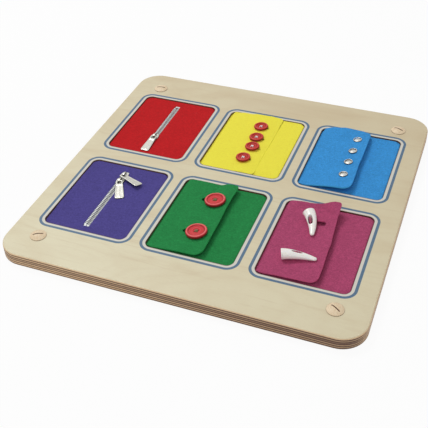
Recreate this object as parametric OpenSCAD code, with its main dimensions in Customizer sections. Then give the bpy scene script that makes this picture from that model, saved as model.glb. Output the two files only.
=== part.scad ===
// Fastening board: a square plywood board with six felt windows. Two windows
// hold a zip, and four hold a felt flap closed by buttons, snaps or toggles.
// The board lies on its back. +X is to the right, +Y to the back edge, +Z up.
// The origin is the centre of the underside.

/* [Board] */
// Width of the board
board_w = 400; // [390:5:480]
// Depth of the board, front to back
board_d = 400; // [390:5:480]
// Corner radius of the board in plan
board_corner_r = 28; // [16:1:40]
// Thickness of the front panel with the windows
front_t = 3; // [2.5:0.5:5]
// Thickness of the back panel
back_t = 12; // [11:0.5:18]
// Rounding of the board's outer edges
edge_round = 1.5; // [0.5:0.25:2]

/* [Windows] */
// Width of a window
window_w = 100; // [96:1:106]
// Depth of a window, front to back
window_d = 126; // [122:1:136]
// Corner radius of a window
window_corner_r = 8; // [3:0.5:14]
// Distance between window centres, left to right
window_pitch_x = 123; // [123:1:128]
// Distance between window centres, front to back
window_pitch_y = 157; // [152:1:170]

/* [Felt] */
// Width of the felt edge held under the front panel
felt_margin = 7; // [4:0.5:8]
// Depth of the pockets for the felt in the back panel
felt_pocket = 3; // [2.5:0.1:3.5]
// Thickness of the felt behind the flaps
felt_t = 3.5; // [3.3:0.1:5]
// Clearance of soft pieces
soft_gap = 0.3; // [0.2:0.05:0.5]

/* [Flaps] */
// Thickness of the flaps
flap_t = 2; // [1:0.1:3]
// Gap from a flap's front and back edges to the window
flap_side_gap = 2; // [1:0.25:6]
// Length of the yellow flap from its hinge line
yellow_flap_l = 70; // [62:1:80]
// Length of the blue flap from its hinge line
blue_flap_l = 62; // [58:1:80]
// Length of the green flap from its hinge line
green_flap_l = 66; // [62:1:80]
// Length of the magenta flap from its hinge line
magenta_flap_l = 66; // [58:1:80]
// Height that the yellow flap's free edge stands above its hinge line
yellow_flap_rise = 1.7; // [1:0.1:4]
// Height that the blue flap's free edge stands above its hinge line
blue_flap_rise = 6; // [5:0.1:8]
// Height that the green flap's free edge stands above its hinge line
green_flap_rise = 4.6; // [2:0.1:8]
// Height that the magenta flap's free edge stands above its hinge line
magenta_flap_rise = 5.2; // [2:0.1:8]
// Radius of a flap's corner at the front
flap_front_r = 8; // [1:0.5:12]
// Radius of a flap's corner at the back
flap_back_r = 3; // [1:0.5:12]
// Thickness of a flap's clamped edge
flap_clamp_t = 1.2; // [0.6:0.1:1.6]

/* [Small buttons] */
// Diameter of the small buttons
small_button_d = 17.5; // [14:0.5:20]
// Thickness of the small buttons
small_button_t = 3.4; // [3:0.1:5]
// Small buttons, distance from the hinge line
small_button_x = [48, 50, 51.5, 48.5]; // [44:0.5:52]
// Small buttons, distance from the window's centre towards the back
small_button_y = [35.5, 10.5, -10.5, -36]; // [-45:0.5:45]
// Length of the small buttonholes
small_slot_l = 20; // [16:0.5:24]

/* [Big buttons] */
// Diameter of the big buttons
big_button_d = 23; // [18:0.5:28]
// Thickness of the big buttons
big_button_t = 4.2; // [3.4:0.1:6]
// Big buttons, distance from the hinge line
big_button_x = 47.3; // [40:0.5:50]
// Big buttons, distance from the window's centre towards the back
big_button_y = [29, -28]; // [-42:0.5:42]
// Length of the big buttonholes
big_slot_l = 24.5; // [20:0.5:30]

/* [Button details] */
// Width of the buttonholes
slot_w = 2.6; // [2.4:0.1:4]
// Width of a button's raised rim
button_rim_w = 3; // [1.5:0.25:4]
// Depth of the dish inside the rim
button_dish = 0.9; // [0.4:0.1:1.2]
// Diameter of the four thread holes
thread_hole_d = 1.8; // [1.5:0.1:2.2]
// Distance between neighbouring thread holes
thread_hole_pitch = 3.2; // [2.8:0.1:4]
// Diameter of a thread
thread_d = 0.9; // [0.6:0.1:1.1]
// Diameter of the wound thread shank under a button
shank_d = 2; // [1.4:0.1:2]

/* [Snaps] */
// Diameter of the snap caps
snap_cap_d = 11; // [9:0.5:13]
// Height of the snap caps
snap_cap_h = 1.6; // [1.2:0.1:2.4]
// Snaps, distance from the hinge line
snap_x = 48.2; // [44:0.5:50]
// Snaps, distance from the window's centre towards the back
snap_y = [43, 17.5, -6.5, -32.5]; // [-48:0.5:48]
// Diameter of the snap sockets and studs
snap_socket_d = 9; // [8:0.5:10]
// Diameter of the rivet posts
snap_post_d = 3; // [2.5:0.1:3.5]
// Diameter of a stud's round head
snap_stud_d = 3.4; // [2.8:0.1:3.6]

/* [Toggles] */
// Length of the toggles
toggle_l = 34.5; // [32:0.5:37]
// Width of a toggle's wide end
toggle_d = 13.6; // [11:0.2:15]
// Height of a toggle as a share of its width
toggle_flat = 0.74; // [0.6:0.02:1]
// Width of a toggle's tip
toggle_tip_d = 5; // [3:0.2:6]
// Sideways bow of a toggle
toggle_bow = 1.75; // [0:0.25:3]
// Distance from a toggle's wide end to its cord
toggle_cord_at = 12; // [11:0.5:14]
// Length of a toggle's hole from the cord towards the tip
toggle_hole_l = 9; // [4:0.5:9]
// Toggles, distance from the hinge line
toggle_x = [34.4, 32.6]; // [30:0.2:38]
// Toggles, distance from the window's centre towards the back
toggle_y = [29.6, -29.4]; // [-36:0.2:36]
// Direction of the toggles' tips in plan, in degrees
toggle_turn = [-69, 7]; // [-180:1:180]
// Length of the toggle slots
toggle_slot_l = 21; // [16:0.5:24]
// Width of the toggle slots
toggle_slot_w = 7.4; // [5:0.1:8]
// Shift of the toggle slots from the cords towards the back
toggle_slot_shift = 1.5; // [0:0.1:2.2]
// Diameter of the toggle cords
cord_d = 2.2; // [1.6:0.1:2.6]

/* [Zips] */
// Length of the zip's slot in the felt
zip_l = 105; // [95:1:110]
// Width of the zip's slot in the felt
zip_slot_w = 6.6; // [6.2:0.1:7.6]
// Offset of the zips from their windows' centres
zip_x = -1.5; // [-12:0.5:12]
// Thickness of the felt around the zips, from its pocket to its face
zip_felt_t = 4.1; // [4.1:0.1:5]
// Thickness of the felt over the zip tape
zip_cover_t = 2.1; // [2:0.1:2.2]
// Width of one zip tape
tape_w = 14.6; // [10:0.2:18]
// Thickness of the zip tape
tape_t = 0.7; // [0.5:0.1:0.7]
// Gap between the two rows of teeth
chain_gap = 0.9; // [0.8:0.1:1.2]
// Width of the closed chain
chain_w = 6; // [5.4:0.1:6]
// Height of the teeth above the tape
teeth_h = 1.7; // [1.2:0.1:1.8]
// Distance between neighbouring teeth
teeth_pitch = 2.5; // [2:0.1:3.2]
// Length of a zip stop
stop_l = 3; // [2:0.25:4]

/* [Zip sliders] */
// Length of a slider
slider_l = 11; // [10:0.25:11.5]
// Width of a slider
slider_w = 9.6; // [8:0.2:11]
// Red slider, distance from its window's centre towards the back
red_slider_y = -24; // [-24:0.5:24]
// Back purple slider, distance from the back end of its zip's slot
purple_back_slider_end = 7.5; // [7:0.1:7.7]
// Front purple slider, distance from the back one
purple_slider_step = 12.5; // [12.5:0.5:25]
// Length of a pull tab from its eye bar to its end
pull_l = 31; // [22:0.5:31]
// Width of a pull tab at its end
pull_w = 11; // [9.5:0.25:12]
// Thickness of a pull tab
pull_t = 1.2; // [1:0.1:1.3]
// Width of a pull tab's eye
eye_w = 4.6; // [4.6:0.1:5]
// Turn of the front purple pull towards the right, in degrees
front_pull_turn = 26; // [0:1:28]
// Turn of the back purple pull towards the right, in degrees
back_pull_turn = 66; // [66:1:80]

/* [Screw caps] */
// Diameter of a cap's head
cap_d = 18; // [14:0.5:22]
// Height of a cap's dome
cap_h = 3; // [2:0.25:5]
// Diameter of a cap's plug
cap_plug_d = 10; // [8:0.25:12]
// Length of a cap's plug
cap_plug_l = 8; // [5:0.25:8.5]
// Inset of the caps from the board's left and right edges
cap_inset = 35.5; // [24:0.5:38]
// Shift of the caps from the middle of the end margins towards the windows
cap_shift = 6.25; // [0:0.25:6.5]
// Turn of the four caps' slots, in degrees
cap_turn = [28, -33, 10, -20]; // [-90:1:90]
// Diameter of the wall screw holes
screw_hole_d = 5; // [3:0.25:6]

/* [Hidden] */

$fn = 48;

// Overlap that makes a cut pass cleanly through a surface
cut = 1;
// Clearance between a hard piece and its seat
fit_gap = 0.1;
// Seating gap between two hard pieces that lie on each other
seat_gap = 0.02;

// Heights of the layers
z_seam = back_t;
z_face = back_t + front_t;
z_pocket = back_t - felt_pocket;
z_felt = z_pocket + felt_t;
z_zip_felt = z_pocket + zip_felt_t;
z_tape_top = z_zip_felt - zip_cover_t;
z_flap = z_felt + soft_gap;

// Window places: [column from the centre, row from the centre]
red_at = [-window_pitch_x, window_pitch_y / 2];
yellow_at = [0, window_pitch_y / 2];
blue_at = [window_pitch_x, window_pitch_y / 2];
purple_at = [-window_pitch_x, -window_pitch_y / 2];
green_at = [0, -window_pitch_y / 2];
magenta_at = [window_pitch_x, -window_pitch_y / 2];
windows = [red_at, yellow_at, blue_at, purple_at, green_at, magenta_at];

// Hinge line of a flap, from its window's centre
hinge_x = -window_w / 2 + soft_gap;

// Screw caps: front left, front right, back left, back right
window_end = (window_pitch_y + window_d) / 2;
cap_y = (window_end + board_d / 2) / 2 - cap_shift;
cap_places = [for (sy = [-1, 1], sx = [-1, 1]) [sx * (board_w / 2 - cap_inset), sy * cap_y]];
cap_rim_h = 0.5;
cap_slot_w = 1.4;
cap_slot_depth = 1;
cap_well = 1;

// Zip slider heights and parts
plate_t = 0.8;
slider_top_t = 1.1;
slider_gap = 0.2;
z_plate = z_tape_top - tape_t - soft_gap - plate_t;
z_slider = z_zip_felt + slider_gap;
z_slider_top = z_slider + slider_top_t;
slider_tail_w = slider_w * 0.76;
purple_back_slider_y = zip_l / 2 - purple_back_slider_end;
purple_front_slider_y = purple_back_slider_y - purple_slider_step;
post_w = chain_gap - 2 * slider_gap;
post_l = 3;
bridge_w = 1.8;
bridge_room = 2.3;
bridge_t = 0.8;
bridge_leg = 0.9;
bridge_span = 6;

// Corded edge of the zip tape
tape_cord_w = 0.9;

// Pull tab parts
bar_w = 1.4;
bar_to_leg = 1.55;
pull_arm = 1.8;
eye_l = 4.9;
pull_corner = 1.2;
z_bar = z_slider_top + bridge_room / 2;
pull_droop = asin((z_bar - pull_t / 2 - z_zip_felt - soft_gap) / pull_l);
leg_y = bridge_span / 2 + bridge_leg / 2;
back_pull_to_leg = 1.95;

// Snap parts
snap_seat = 0.1;
snap_cap_rim = 0.2;
snap_post_grip = 0.4;
snap_socket_h = 1.9;
snap_socket_top = 0.5;
snap_plate_h = 0.8;
snap_rivet_h = 0.9;
snap_cavity_d = snap_stud_d + 1.4;
snap_neck_d = snap_stud_d - 0.8;
snap_neck_h = 0.6;
snap_head_h = 0.5;
snap_crown_d = snap_stud_d - 1;
snap_crown_h = 0.4;

// Button parts
button_foot = 1.4;
button_belly = 1.1;
button_shoulder = 0.8;
button_well_depth = 0.5;
button_well_r = thread_hole_pitch * 1.2;

// Toggle parts
toggle_steps = 6;
toggle_hole_room = 0.7;
toggle_taper = 1.25;
toggle_chamfer = 0.8;
knot_extra = 0.6;

// Threads
stitch_lift = 0.05;
bar_thread_d = thread_d - 0.1;

// Radius of the arc of a flap's lower face
function flap_r(l, rise) = (l * l + rise * rise) / (2 * rise);
// Slope of a flap's upper face at a distance from its hinge line
function flap_slope(r, x) = asin(x / (r - flap_t));
// Height of a flap's upper face at a distance from its hinge line
function flap_z(r, x) = z_flap + r - (r - flap_t) * cos(flap_slope(r, x));
// How far the arc of a flap rises past a flat disc of this radius
function flap_sag(r, reach) = reach * reach / (2 * (r - flap_t));

yellow_r = flap_r(yellow_flap_l, yellow_flap_rise);
blue_r = flap_r(blue_flap_l, blue_flap_rise);
green_r = flap_r(green_flap_l, green_flap_rise);
magenta_r = flap_r(magenta_flap_l, magenta_flap_rise);

// Rectangle with round corners, centred
module round_rect(w, d, r) {
  square([w - 2 * r, d], center = true);
  square([w, d - 2 * r], center = true);
  for (sx = [-1, 1], sy = [-1, 1])
    translate([sx * (w / 2 - r), sy * (d / 2 - r)]) circle(r);
}

// Slab with round corners whose side follows a profile of [inset, height]
module slab(profile) {
  low = profile[0][1];
  high = profile[len(profile) - 1][1];
  side = concat([[-cut, low]], profile, [[-cut, high]]);
  span_x = board_w - 2 * board_corner_r;
  span_y = board_d - 2 * board_corner_r;
  outline = [for (p = profile) [board_corner_r - p[0], p[1]]];
  ring = concat([[0, low]], outline, [[0, high]]);
  translate([0, 0, low]) linear_extrude(high - low)
    square([span_x, span_y], center = true);
  for (end = [-1, 1]) {
    translate([0, end * span_y / 2, 0]) rotate([90, 0, end * 90])
      linear_extrude(span_x, center = true) polygon(ring);
    translate([end * span_x / 2, 0, 0]) rotate([90, 0, 90 - end * 90])
      linear_extrude(span_y, center = true) polygon(ring);
  }
  for (i = [0:3])
    translate([(i == 0 || i == 3 ? 1 : -1) * span_x / 2, (i < 2 ? 1 : -1) * span_y / 2, 0])
      rotate([0, 0, i * 90]) rotate_extrude(angle = 90) polygon(ring);
}

// Round-over of the outer edge as [inset, height] steps, from its side to its face
function round_over(z, dir) =
  [for (a = [0:30:90]) [edge_round * (1 - cos(a)), z - dir * edge_round * (1 - sin(a))]];

module front_panel() color([0.84, 0.79, 0.67]) difference() {
  slab(concat([[0, z_seam]], round_over(z_face, 1)));
  for (at = windows)
    translate([at[0], at[1], z_seam - cut])
      linear_extrude(front_t + 2 * cut) round_rect(window_w, window_d, window_corner_r);
  for (at = cap_places)
    translate([at[0], at[1], z_seam - cut])
      cylinder(d = cap_plug_d + 2 * fit_gap, h = front_t + 2 * cut);
}

module back_panel() color([0.8, 0.7, 0.56]) difference() {
  under = round_over(0, -1);
  slab(concat([for (i = [len(under) - 1:-1:0]) under[i]], [[0, z_seam]]));
  for (at = windows)
    translate([at[0], at[1], z_pocket]) linear_extrude(felt_pocket + cut) pocket_plan(0);
  for (at = cap_places) {
    translate([at[0], at[1], z_face - cap_plug_l - cap_well])
      cylinder(d = cap_plug_d + 2 * fit_gap, h = cap_plug_l + cap_well);
    translate([at[0], at[1], -cut]) cylinder(d = screw_hole_d, h = back_t + 2 * cut);
  }
}

// Wooden cap with a domed, slotted head and a plug
module cap(i) {
  dome_r = (cap_d * cap_d / 4 + (cap_h - cap_rim_h) * (cap_h - cap_rim_h)) / (2 * (cap_h - cap_rim_h));
  translate([cap_places[i][0], cap_places[i][1], z_face]) rotate([0, 0, cap_turn[i]])
    color([0.88, 0.76, 0.63]) difference() {
      union() {
        intersection() {
          cylinder(d = cap_d, h = cap_h);
          translate([0, 0, cap_h - dome_r]) sphere(dome_r, $fn = 96);
        }
        translate([0, 0, -cap_plug_l]) cylinder(d = cap_plug_d, h = cap_plug_l + cap_rim_h);
      }
      translate([-cap_d / 2 - cut, -cap_slot_w / 2, cap_h - cap_slot_depth])
        cube([cap_d + 2 * cut, cap_slot_w, cap_slot_depth + cut]);
    }
}

// Plan of a pocket for the felt, less a gap
module pocket_plan(gap) {
  round_rect(window_w + 2 * (felt_margin - gap), window_d + 2 * (felt_margin - gap),
    window_corner_r + felt_margin - gap);
}

// Felt sheet: its edge is held in the pocket and its middle fills the window
module felt_sheet(at, height) {
  translate([at[0], at[1], z_pocket]) {
    linear_extrude(felt_pocket) pocket_plan(fit_gap);
    linear_extrude(height)
      round_rect(window_w - 2 * soft_gap, window_d - 2 * soft_gap, window_corner_r - soft_gap);
  }
}

// Clamped edge of a flap, in the pocket at the left of its window
module flap_edge_room(at, gap) {
  translate([at[0] - window_w / 2 - felt_margin - cut, at[1] - window_d / 2 + flap_side_gap - gap,
      z_seam - flap_clamp_t])
    cube([felt_margin + cut - 2 * fit_gap + gap, window_d - 2 * flap_side_gap + 2 * gap,
      flap_clamp_t + cut]);
}

module flap_edge(at) intersection() {
  translate([at[0] - window_w / 2 - felt_margin, at[1] - window_d / 2 + flap_side_gap,
      z_seam - flap_clamp_t])
    cube([felt_margin - 2 * fit_gap, window_d - 2 * flap_side_gap, flap_clamp_t]);
  translate([at[0], at[1], z_pocket]) linear_extrude(felt_pocket) pocket_plan(fit_gap);
}

module flap_felt(at) difference() {
  felt_sheet(at, felt_t);
  flap_edge_room(at, fit_gap);
}

// Flap curling up from its hinge line along an arc, with its slots cut by the children
module flap(at, l, r) difference() {
  depth = window_d - 2 * flap_side_gap;
  translate([at[0] + hinge_x, at[1], 0]) intersection() {
    translate([0, depth / 2, z_flap + r]) rotate([90, 0, 0]) difference() {
      cylinder(r = r, h = depth, $fn = 360);
      translate([0, 0, -cut]) cylinder(r = r - flap_t, h = depth + 2 * cut, $fn = 360);
    }
    translate([0, 0, z_flap - cut]) linear_extrude(r / 2 + flap_t + 2 * cut) flap_plan(l, depth);
  }
  children();
}

// Plan of a flap, with its hinge line on X = 0. The corners there follow the window's.
module flap_plan(l, depth) {
  hinge_r = window_corner_r - soft_gap;
  translate([0, -depth / 2 + hinge_r]) square([l - flap_front_r, depth - 2 * hinge_r]);
  translate([hinge_r, -depth / 2]) square([l - flap_front_r - hinge_r, depth]);
  for (side = [-1, 1]) translate([hinge_r, side * (depth / 2 - hinge_r)]) circle(hinge_r);
  translate([hinge_r, -depth / 2 + flap_front_r])
    square([l - hinge_r, depth - flap_front_r - flap_back_r]);
  translate([l - flap_front_r, -depth / 2 + flap_front_r]) circle(flap_front_r);
  translate([hinge_r, 0]) square([l - flap_back_r - hinge_r, depth / 2]);
  translate([l - flap_back_r, depth / 2 - flap_back_r]) circle(flap_back_r);
}

// Slot through a flap, from its start at a distance from the hinge line
module flap_slot(at, start, y, l, w) {
  translate([at[0] + hinge_x + start, at[1] + y - w / 2, z_flap - cut])
    cube([l, w, board_w]);
}

// Frame on a flap's upper face, with Z along the face's normal
module on_flap(at, r, x, y) {
  translate([at[0] + hinge_x + x, at[1] + y, flap_z(r, x)]) rotate([0, -flap_slope(r, x), 0])
    children();
}

// Distance down the normal from a flap's upper face to the felt below
function drop_to_felt(r, x, d) = (flap_z(r, x) - z_felt) / cos(flap_slope(r, x))
  - d / 2 * tan(flap_slope(r, x)) - seat_gap;

// Four-hole button, lying on Z = 0
module button(d, t) {
  hole = thread_hole_pitch / 2;
  difference() {
    rotate_extrude() polygon([[0, 0], [d / 2 - button_foot, 0], [d / 2, button_belly],
      [d / 2, t - button_shoulder], [d / 2 - button_shoulder, t],
      [d / 2 - button_rim_w + button_shoulder, t], [d / 2 - button_rim_w, t - button_dish],
      [button_well_r, t - button_dish],
      [button_well_r - button_well_depth / 2, t - button_dish - button_well_depth],
      [0, t - button_dish - button_well_depth]]);
    for (sx = [-1, 1], sy = [-1, 1])
      translate([sx * hole, sy * hole, -cut]) cylinder(d = thread_hole_d, h = t + 2 * cut);
  }
}

// Crossed stitch through a button's four holes
module stitch(t) {
  hole = thread_hole_pitch / 2;
  top = t - button_dish - button_well_depth + stitch_lift + bar_thread_d / 2;
  for (sx = [-1, 1], sy = [-1, 1])
    translate([sx * hole, sy * hole, 0]) cylinder(d = thread_d, h = top + bar_thread_d / 4);
  for (turn = [45, 135])
    translate([0, 0, top]) rotate([90, 0, turn])
      cylinder(d = bar_thread_d, h = thread_hole_pitch * sqrt(2) + stitch_lift, center = true);
}

// Lift that keeps a flat button clear of the curved flap
function button_lift(r, d) = soft_gap + flap_sag(r, d / 2);

module thread_shank(r, x, lift) {
  drop = drop_to_felt(r, x, shank_d);
  translate([0, 0, -drop]) cylinder(d = shank_d, h = drop + lift - fit_gap);
}

// Row of teeth along one side of a zip, on its corded edge
module teeth(at, side) {
  inner = chain_gap / 2;
  outer = chain_w / 2;
  tooth_l = teeth_pitch * 0.45;
  run = zip_l - 2 * stop_l - 2 * fit_gap;
  count = floor((run - teeth_pitch) / teeth_pitch);
  shift = (side + 1) / 4 * teeth_pitch;
  translate([at[0] + zip_x, at[1], z_tape_top]) mirror([side < 0 ? 1 : 0, 0, 0]) {
    translate([outer - tape_cord_w, -run / 2, 0]) cube([tape_cord_w, run, teeth_h * 0.6]);
    for (i = [0:count])
      translate([inner, -run / 2 + i * teeth_pitch + shift, 0])
        cube([outer - inner - tape_cord_w / 4, tooth_l, teeth_h]);
  }
}

module tape(at, side) {
  run = zip_l + 4 * stop_l;
  inner = chain_gap / 2;
  translate([at[0] + zip_x, at[1], z_tape_top - tape_t]) mirror([side < 0 ? 1 : 0, 0, 0])
    translate([inner, -run / 2, 0]) cube([tape_w, run, tape_t]);
}

// Stops at both ends of a zip: one across the chain, one on each row
module zip_stops(at) {
  stop_h = teeth_h + fit_gap;
  translate([at[0] + zip_x, at[1], z_tape_top]) {
    translate([-chain_w / 2, zip_l / 2 - stop_l, 0]) cube([chain_w, stop_l - fit_gap, stop_h]);
    for (side = [-1, 1])
      translate([side * (chain_w + chain_gap) / 4 - (chain_w - chain_gap) / 4, -zip_l / 2 + fit_gap, 0])
        cube([(chain_w - chain_gap) / 2, stop_l - fit_gap, stop_h]);
  }
}

// Felt with a slot for the chain and a relief for the tape below
module zip_felt(at) difference() {
  felt_sheet(at, zip_felt_t);
  translate([at[0] + zip_x, at[1], 0]) {
    relief_w = chain_gap + 2 * tape_w + 2 * soft_gap;
    relief_l = zip_l + 4 * stop_l + 2 * soft_gap;
    translate([-relief_w / 2, -relief_l / 2, z_pocket - cut])
      cube([relief_w, relief_l, z_tape_top - z_pocket + cut]);
    translate([-zip_slot_w / 2, -zip_l / 2, z_pocket]) cube([zip_slot_w, zip_l, zip_felt_t + cut]);
  }
}

// Slider with its wide end towards the front, at its centre on the chain
module slider() {
  shoulder = slider_l * 0.18;
  mouth_w = (slider_w + 2 * slider_tail_w) / 3;
  outline = [[-mouth_w / 2, -slider_l / 2], [mouth_w / 2, -slider_l / 2],
    [slider_w / 2, -slider_l / 2 + shoulder], [slider_w / 2, slider_l * 0.1],
    [slider_tail_w / 2, slider_l / 2], [-slider_tail_w / 2, slider_l / 2],
    [-slider_w / 2, slider_l * 0.1], [-slider_w / 2, -slider_l / 2 + shoulder]];
  translate([0, 0, z_plate]) linear_extrude(plate_t) polygon(outline);
  translate([0, 0, z_slider]) linear_extrude(slider_top_t) polygon(outline);
  translate([-post_w / 2, -post_l / 2, z_plate]) cube([post_w, post_l, z_slider_top - z_plate]);
  for (end = [-1, 1])
    translate([-bridge_w / 2, end * leg_y - bridge_leg / 2, z_slider])
      cube([bridge_w, bridge_leg, slider_top_t + bridge_room + bridge_t]);
  translate([-bridge_w / 2, -leg_y - bridge_leg / 2, z_slider_top + bridge_room])
    cube([bridge_w, 2 * leg_y + bridge_leg, bridge_t]);
}

module slider_at(at, y, turn) {
  translate([at[0] + zip_x, at[1] + y, 0]) rotate([0, 0, turn]) color([0.8, 0.8, 0.79]) slider();
}

// Pull tab lying towards the front, with its eye bar's centre at the origin
module pull() {
  top_w = eye_w + 2 * pull_arm;
  eye_end = -bar_w / 2 - eye_l;
  rotate([0, 90, 0]) cylinder(d = bar_w, h = top_w - 2 * pull_corner, center = true);
  linear_extrude(pull_t, center = true) difference() {
    polygon([[-top_w / 2, 0], [-top_w / 2, eye_end], [-pull_w / 2, -pull_l + pull_corner],
      [-pull_w / 2 + pull_corner, -pull_l], [pull_w / 2 - pull_corner, -pull_l],
      [pull_w / 2, -pull_l + pull_corner], [top_w / 2, eye_end], [top_w / 2, 0]]);
    translate([-eye_w / 2, eye_end]) square([eye_w, eye_l + bar_w / 2 + cut]);
  }
}

// Pull on a slider's bridge, hanging down by an angle to the felt
module pull_at(at, y, turn, behind, droop) {
  color([0.84, 0.84, 0.82]) translate([at[0] + zip_x, at[1] + y, z_bar]) rotate([0, 0, turn])
    translate([0, behind, 0]) rotate([droop, 0, 0]) pull();
}

// Horn-shaped toggle resting on Z = 0, with its cord at the origin
module toggle() {
  hole_r = cord_d / 2 + toggle_hole_room;
  function way(t) = [toggle_l * t - toggle_cord_at, 4 * toggle_bow * (t * (1 - t)
    - toggle_cord_at / toggle_l * (1 - toggle_cord_at / toggle_l))];
  function half(t) = (toggle_d + (toggle_tip_d - toggle_d) * pow(t, toggle_taper)) / 2;
  difference() {
    scale([1, 1, toggle_flat]) for (i = [0:toggle_steps - 1])
      hull() {
        toggle_section(way(i / toggle_steps), half(i / toggle_steps), i == 0);
        toggle_section(way((i + 1) / toggle_steps), half((i + 1) / toggle_steps), false);
      }
    for (end = [0, 1])
      translate([end * toggle_hole_l, 0, -cut]) cylinder(r = hole_r, h = toggle_d + 2 * cut);
    translate([0, -hole_r, -cut]) cube([toggle_hole_l, 2 * hole_r, toggle_d + 2 * cut]);
  }
}

// Section of a toggle: a chamfered disc at the wide end and a ball elsewhere
module toggle_section(at, r, flat_end) {
  translate([at[0], at[1], r])
    if (flat_end) rotate([0, 90, 0]) {
      cylinder(r = r - toggle_chamfer, h = toggle_chamfer, $fn = 32);
      translate([0, 0, toggle_chamfer]) cylinder(r = r, h = toggle_chamfer / 2, $fn = 32);
    }
    else sphere(r = r, $fn = 32);
}

// Height of a toggle above the flap, clear of the flap's curve when it turns
toggle_lift = soft_gap + flap_sag(magenta_r, toggle_l - toggle_cord_at);

module toggle_on_flap(i) {
  on_flap(magenta_at, magenta_r, toggle_x[i], toggle_y[i]) translate([0, 0, toggle_lift])
    rotate([0, 0, toggle_turn[i]]) color([0.93, 0.91, 0.86]) toggle();
}

module cap_front_left() cap(0);
module cap_front_right() cap(1);
module cap_back_left() cap(2);
module cap_back_right() cap(3);

// Red window: a zip with one slider
module red_felt() color([0.72, 0.14, 0.15]) zip_felt(red_at);
module red_zip_tape_left() color([0.66, 0.12, 0.13]) tape(red_at, -1);
module red_zip_tape_right() color([0.66, 0.12, 0.13]) tape(red_at, 1);
module red_zip_teeth_left() color([0.62, 0.63, 0.62]) teeth(red_at, -1);
module red_zip_teeth_right() color([0.62, 0.63, 0.62]) teeth(red_at, 1);
module red_zip_stops() color([0.7, 0.7, 0.69]) zip_stops(red_at);
module red_slider() slider_at(red_at, red_slider_y, 0);
module red_pull() pull_at(red_at, red_slider_y - bridge_span / 2 + bar_to_leg, 0, 0, pull_droop);

// Purple window: a zip with two sliders
module purple_felt() color([0.3, 0.26, 0.53]) zip_felt(purple_at);
module purple_zip_tape_left() color([0.27, 0.23, 0.48]) tape(purple_at, -1);
module purple_zip_tape_right() color([0.27, 0.23, 0.48]) tape(purple_at, 1);
module purple_zip_teeth_left() color([0.62, 0.63, 0.62]) teeth(purple_at, -1);
module purple_zip_teeth_right() color([0.62, 0.63, 0.62]) teeth(purple_at, 1);
module purple_zip_stops() color([0.7, 0.7, 0.69]) zip_stops(purple_at);
module purple_slider_front() slider_at(purple_at, purple_front_slider_y, 180);
module purple_pull_front()
  pull_at(purple_at, purple_front_slider_y - bridge_span / 2 + bar_to_leg, front_pull_turn, 0,
    pull_droop);
module purple_slider_back() slider_at(purple_at, purple_back_slider_y, 0);
module purple_pull_back()
  pull_at(purple_at, purple_back_slider_y - leg_y, back_pull_turn, back_pull_to_leg,
    pull_droop / 2);

// Yellow window: a flap with four small buttons
module yellow_button_frame(i) {
  on_flap(yellow_at, yellow_r, small_button_x[i], small_button_y[i]) children();
}
module yellow_button(i) {
  color([0.75, 0.17, 0.16]) yellow_button_frame(i)
    translate([0, 0, button_lift(yellow_r, small_button_d)]) button(small_button_d, small_button_t);
}
module yellow_stitch(i) {
  color([0.93, 0.92, 0.9]) yellow_button_frame(i)
    translate([0, 0, button_lift(yellow_r, small_button_d)]) stitch(small_button_t);
}
module yellow_felt() color([0.93, 0.87, 0.25]) flap_felt(yellow_at);
module yellow_flap_edge() color([0.93, 0.87, 0.25]) flap_edge(yellow_at);
module yellow_flap() color([0.93, 0.88, 0.28]) flap(yellow_at, yellow_flap_l, yellow_r)
  for (i = [0:3])
    flap_slot(yellow_at, small_button_x[i] - small_slot_l / 2 + 1.5, small_button_y[i],
      small_slot_l, slot_w);
module yellow_thread_shanks() color([0.93, 0.92, 0.9]) for (i = [0:3])
  yellow_button_frame(i) thread_shank(yellow_r, small_button_x[i], button_lift(yellow_r, small_button_d));
module yellow_button_1() yellow_button(0);
module yellow_button_2() yellow_button(1);
module yellow_button_3() yellow_button(2);
module yellow_button_4() yellow_button(3);
module yellow_stitch_1() yellow_stitch(0);
module yellow_stitch_2() yellow_stitch(1);
module yellow_stitch_3() yellow_stitch(2);
module yellow_stitch_4() yellow_stitch(3);

// Green window: a flap with two big buttons
module green_button_frame(i) {
  on_flap(green_at, green_r, big_button_x, big_button_y[i]) children();
}
module green_button(i) {
  color([0.84, 0.24, 0.25]) green_button_frame(i)
    translate([0, 0, button_lift(green_r, big_button_d)]) button(big_button_d, big_button_t);
}
module green_stitch(i) {
  color([0.5, 0.45, 0.33]) green_button_frame(i)
    translate([0, 0, button_lift(green_r, big_button_d)]) stitch(big_button_t);
}
module green_felt() color([0.13, 0.5, 0.26]) flap_felt(green_at);
module green_flap_edge() color([0.13, 0.5, 0.26]) flap_edge(green_at);
module green_flap() color([0.14, 0.53, 0.28]) flap(green_at, green_flap_l, green_r)
  for (i = [0:1])
    flap_slot(green_at, big_button_x - big_slot_l / 2 - 2, big_button_y[i], big_slot_l, slot_w);
module green_thread_shanks() color([0.5, 0.45, 0.33]) for (i = [0:1])
  green_button_frame(i) thread_shank(green_r, big_button_x, button_lift(green_r, big_button_d));
module green_button_back() green_button(0);
module green_button_front() green_button(1);
module green_stitch_back() green_stitch(0);
module green_stitch_front() green_stitch(1);

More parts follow.
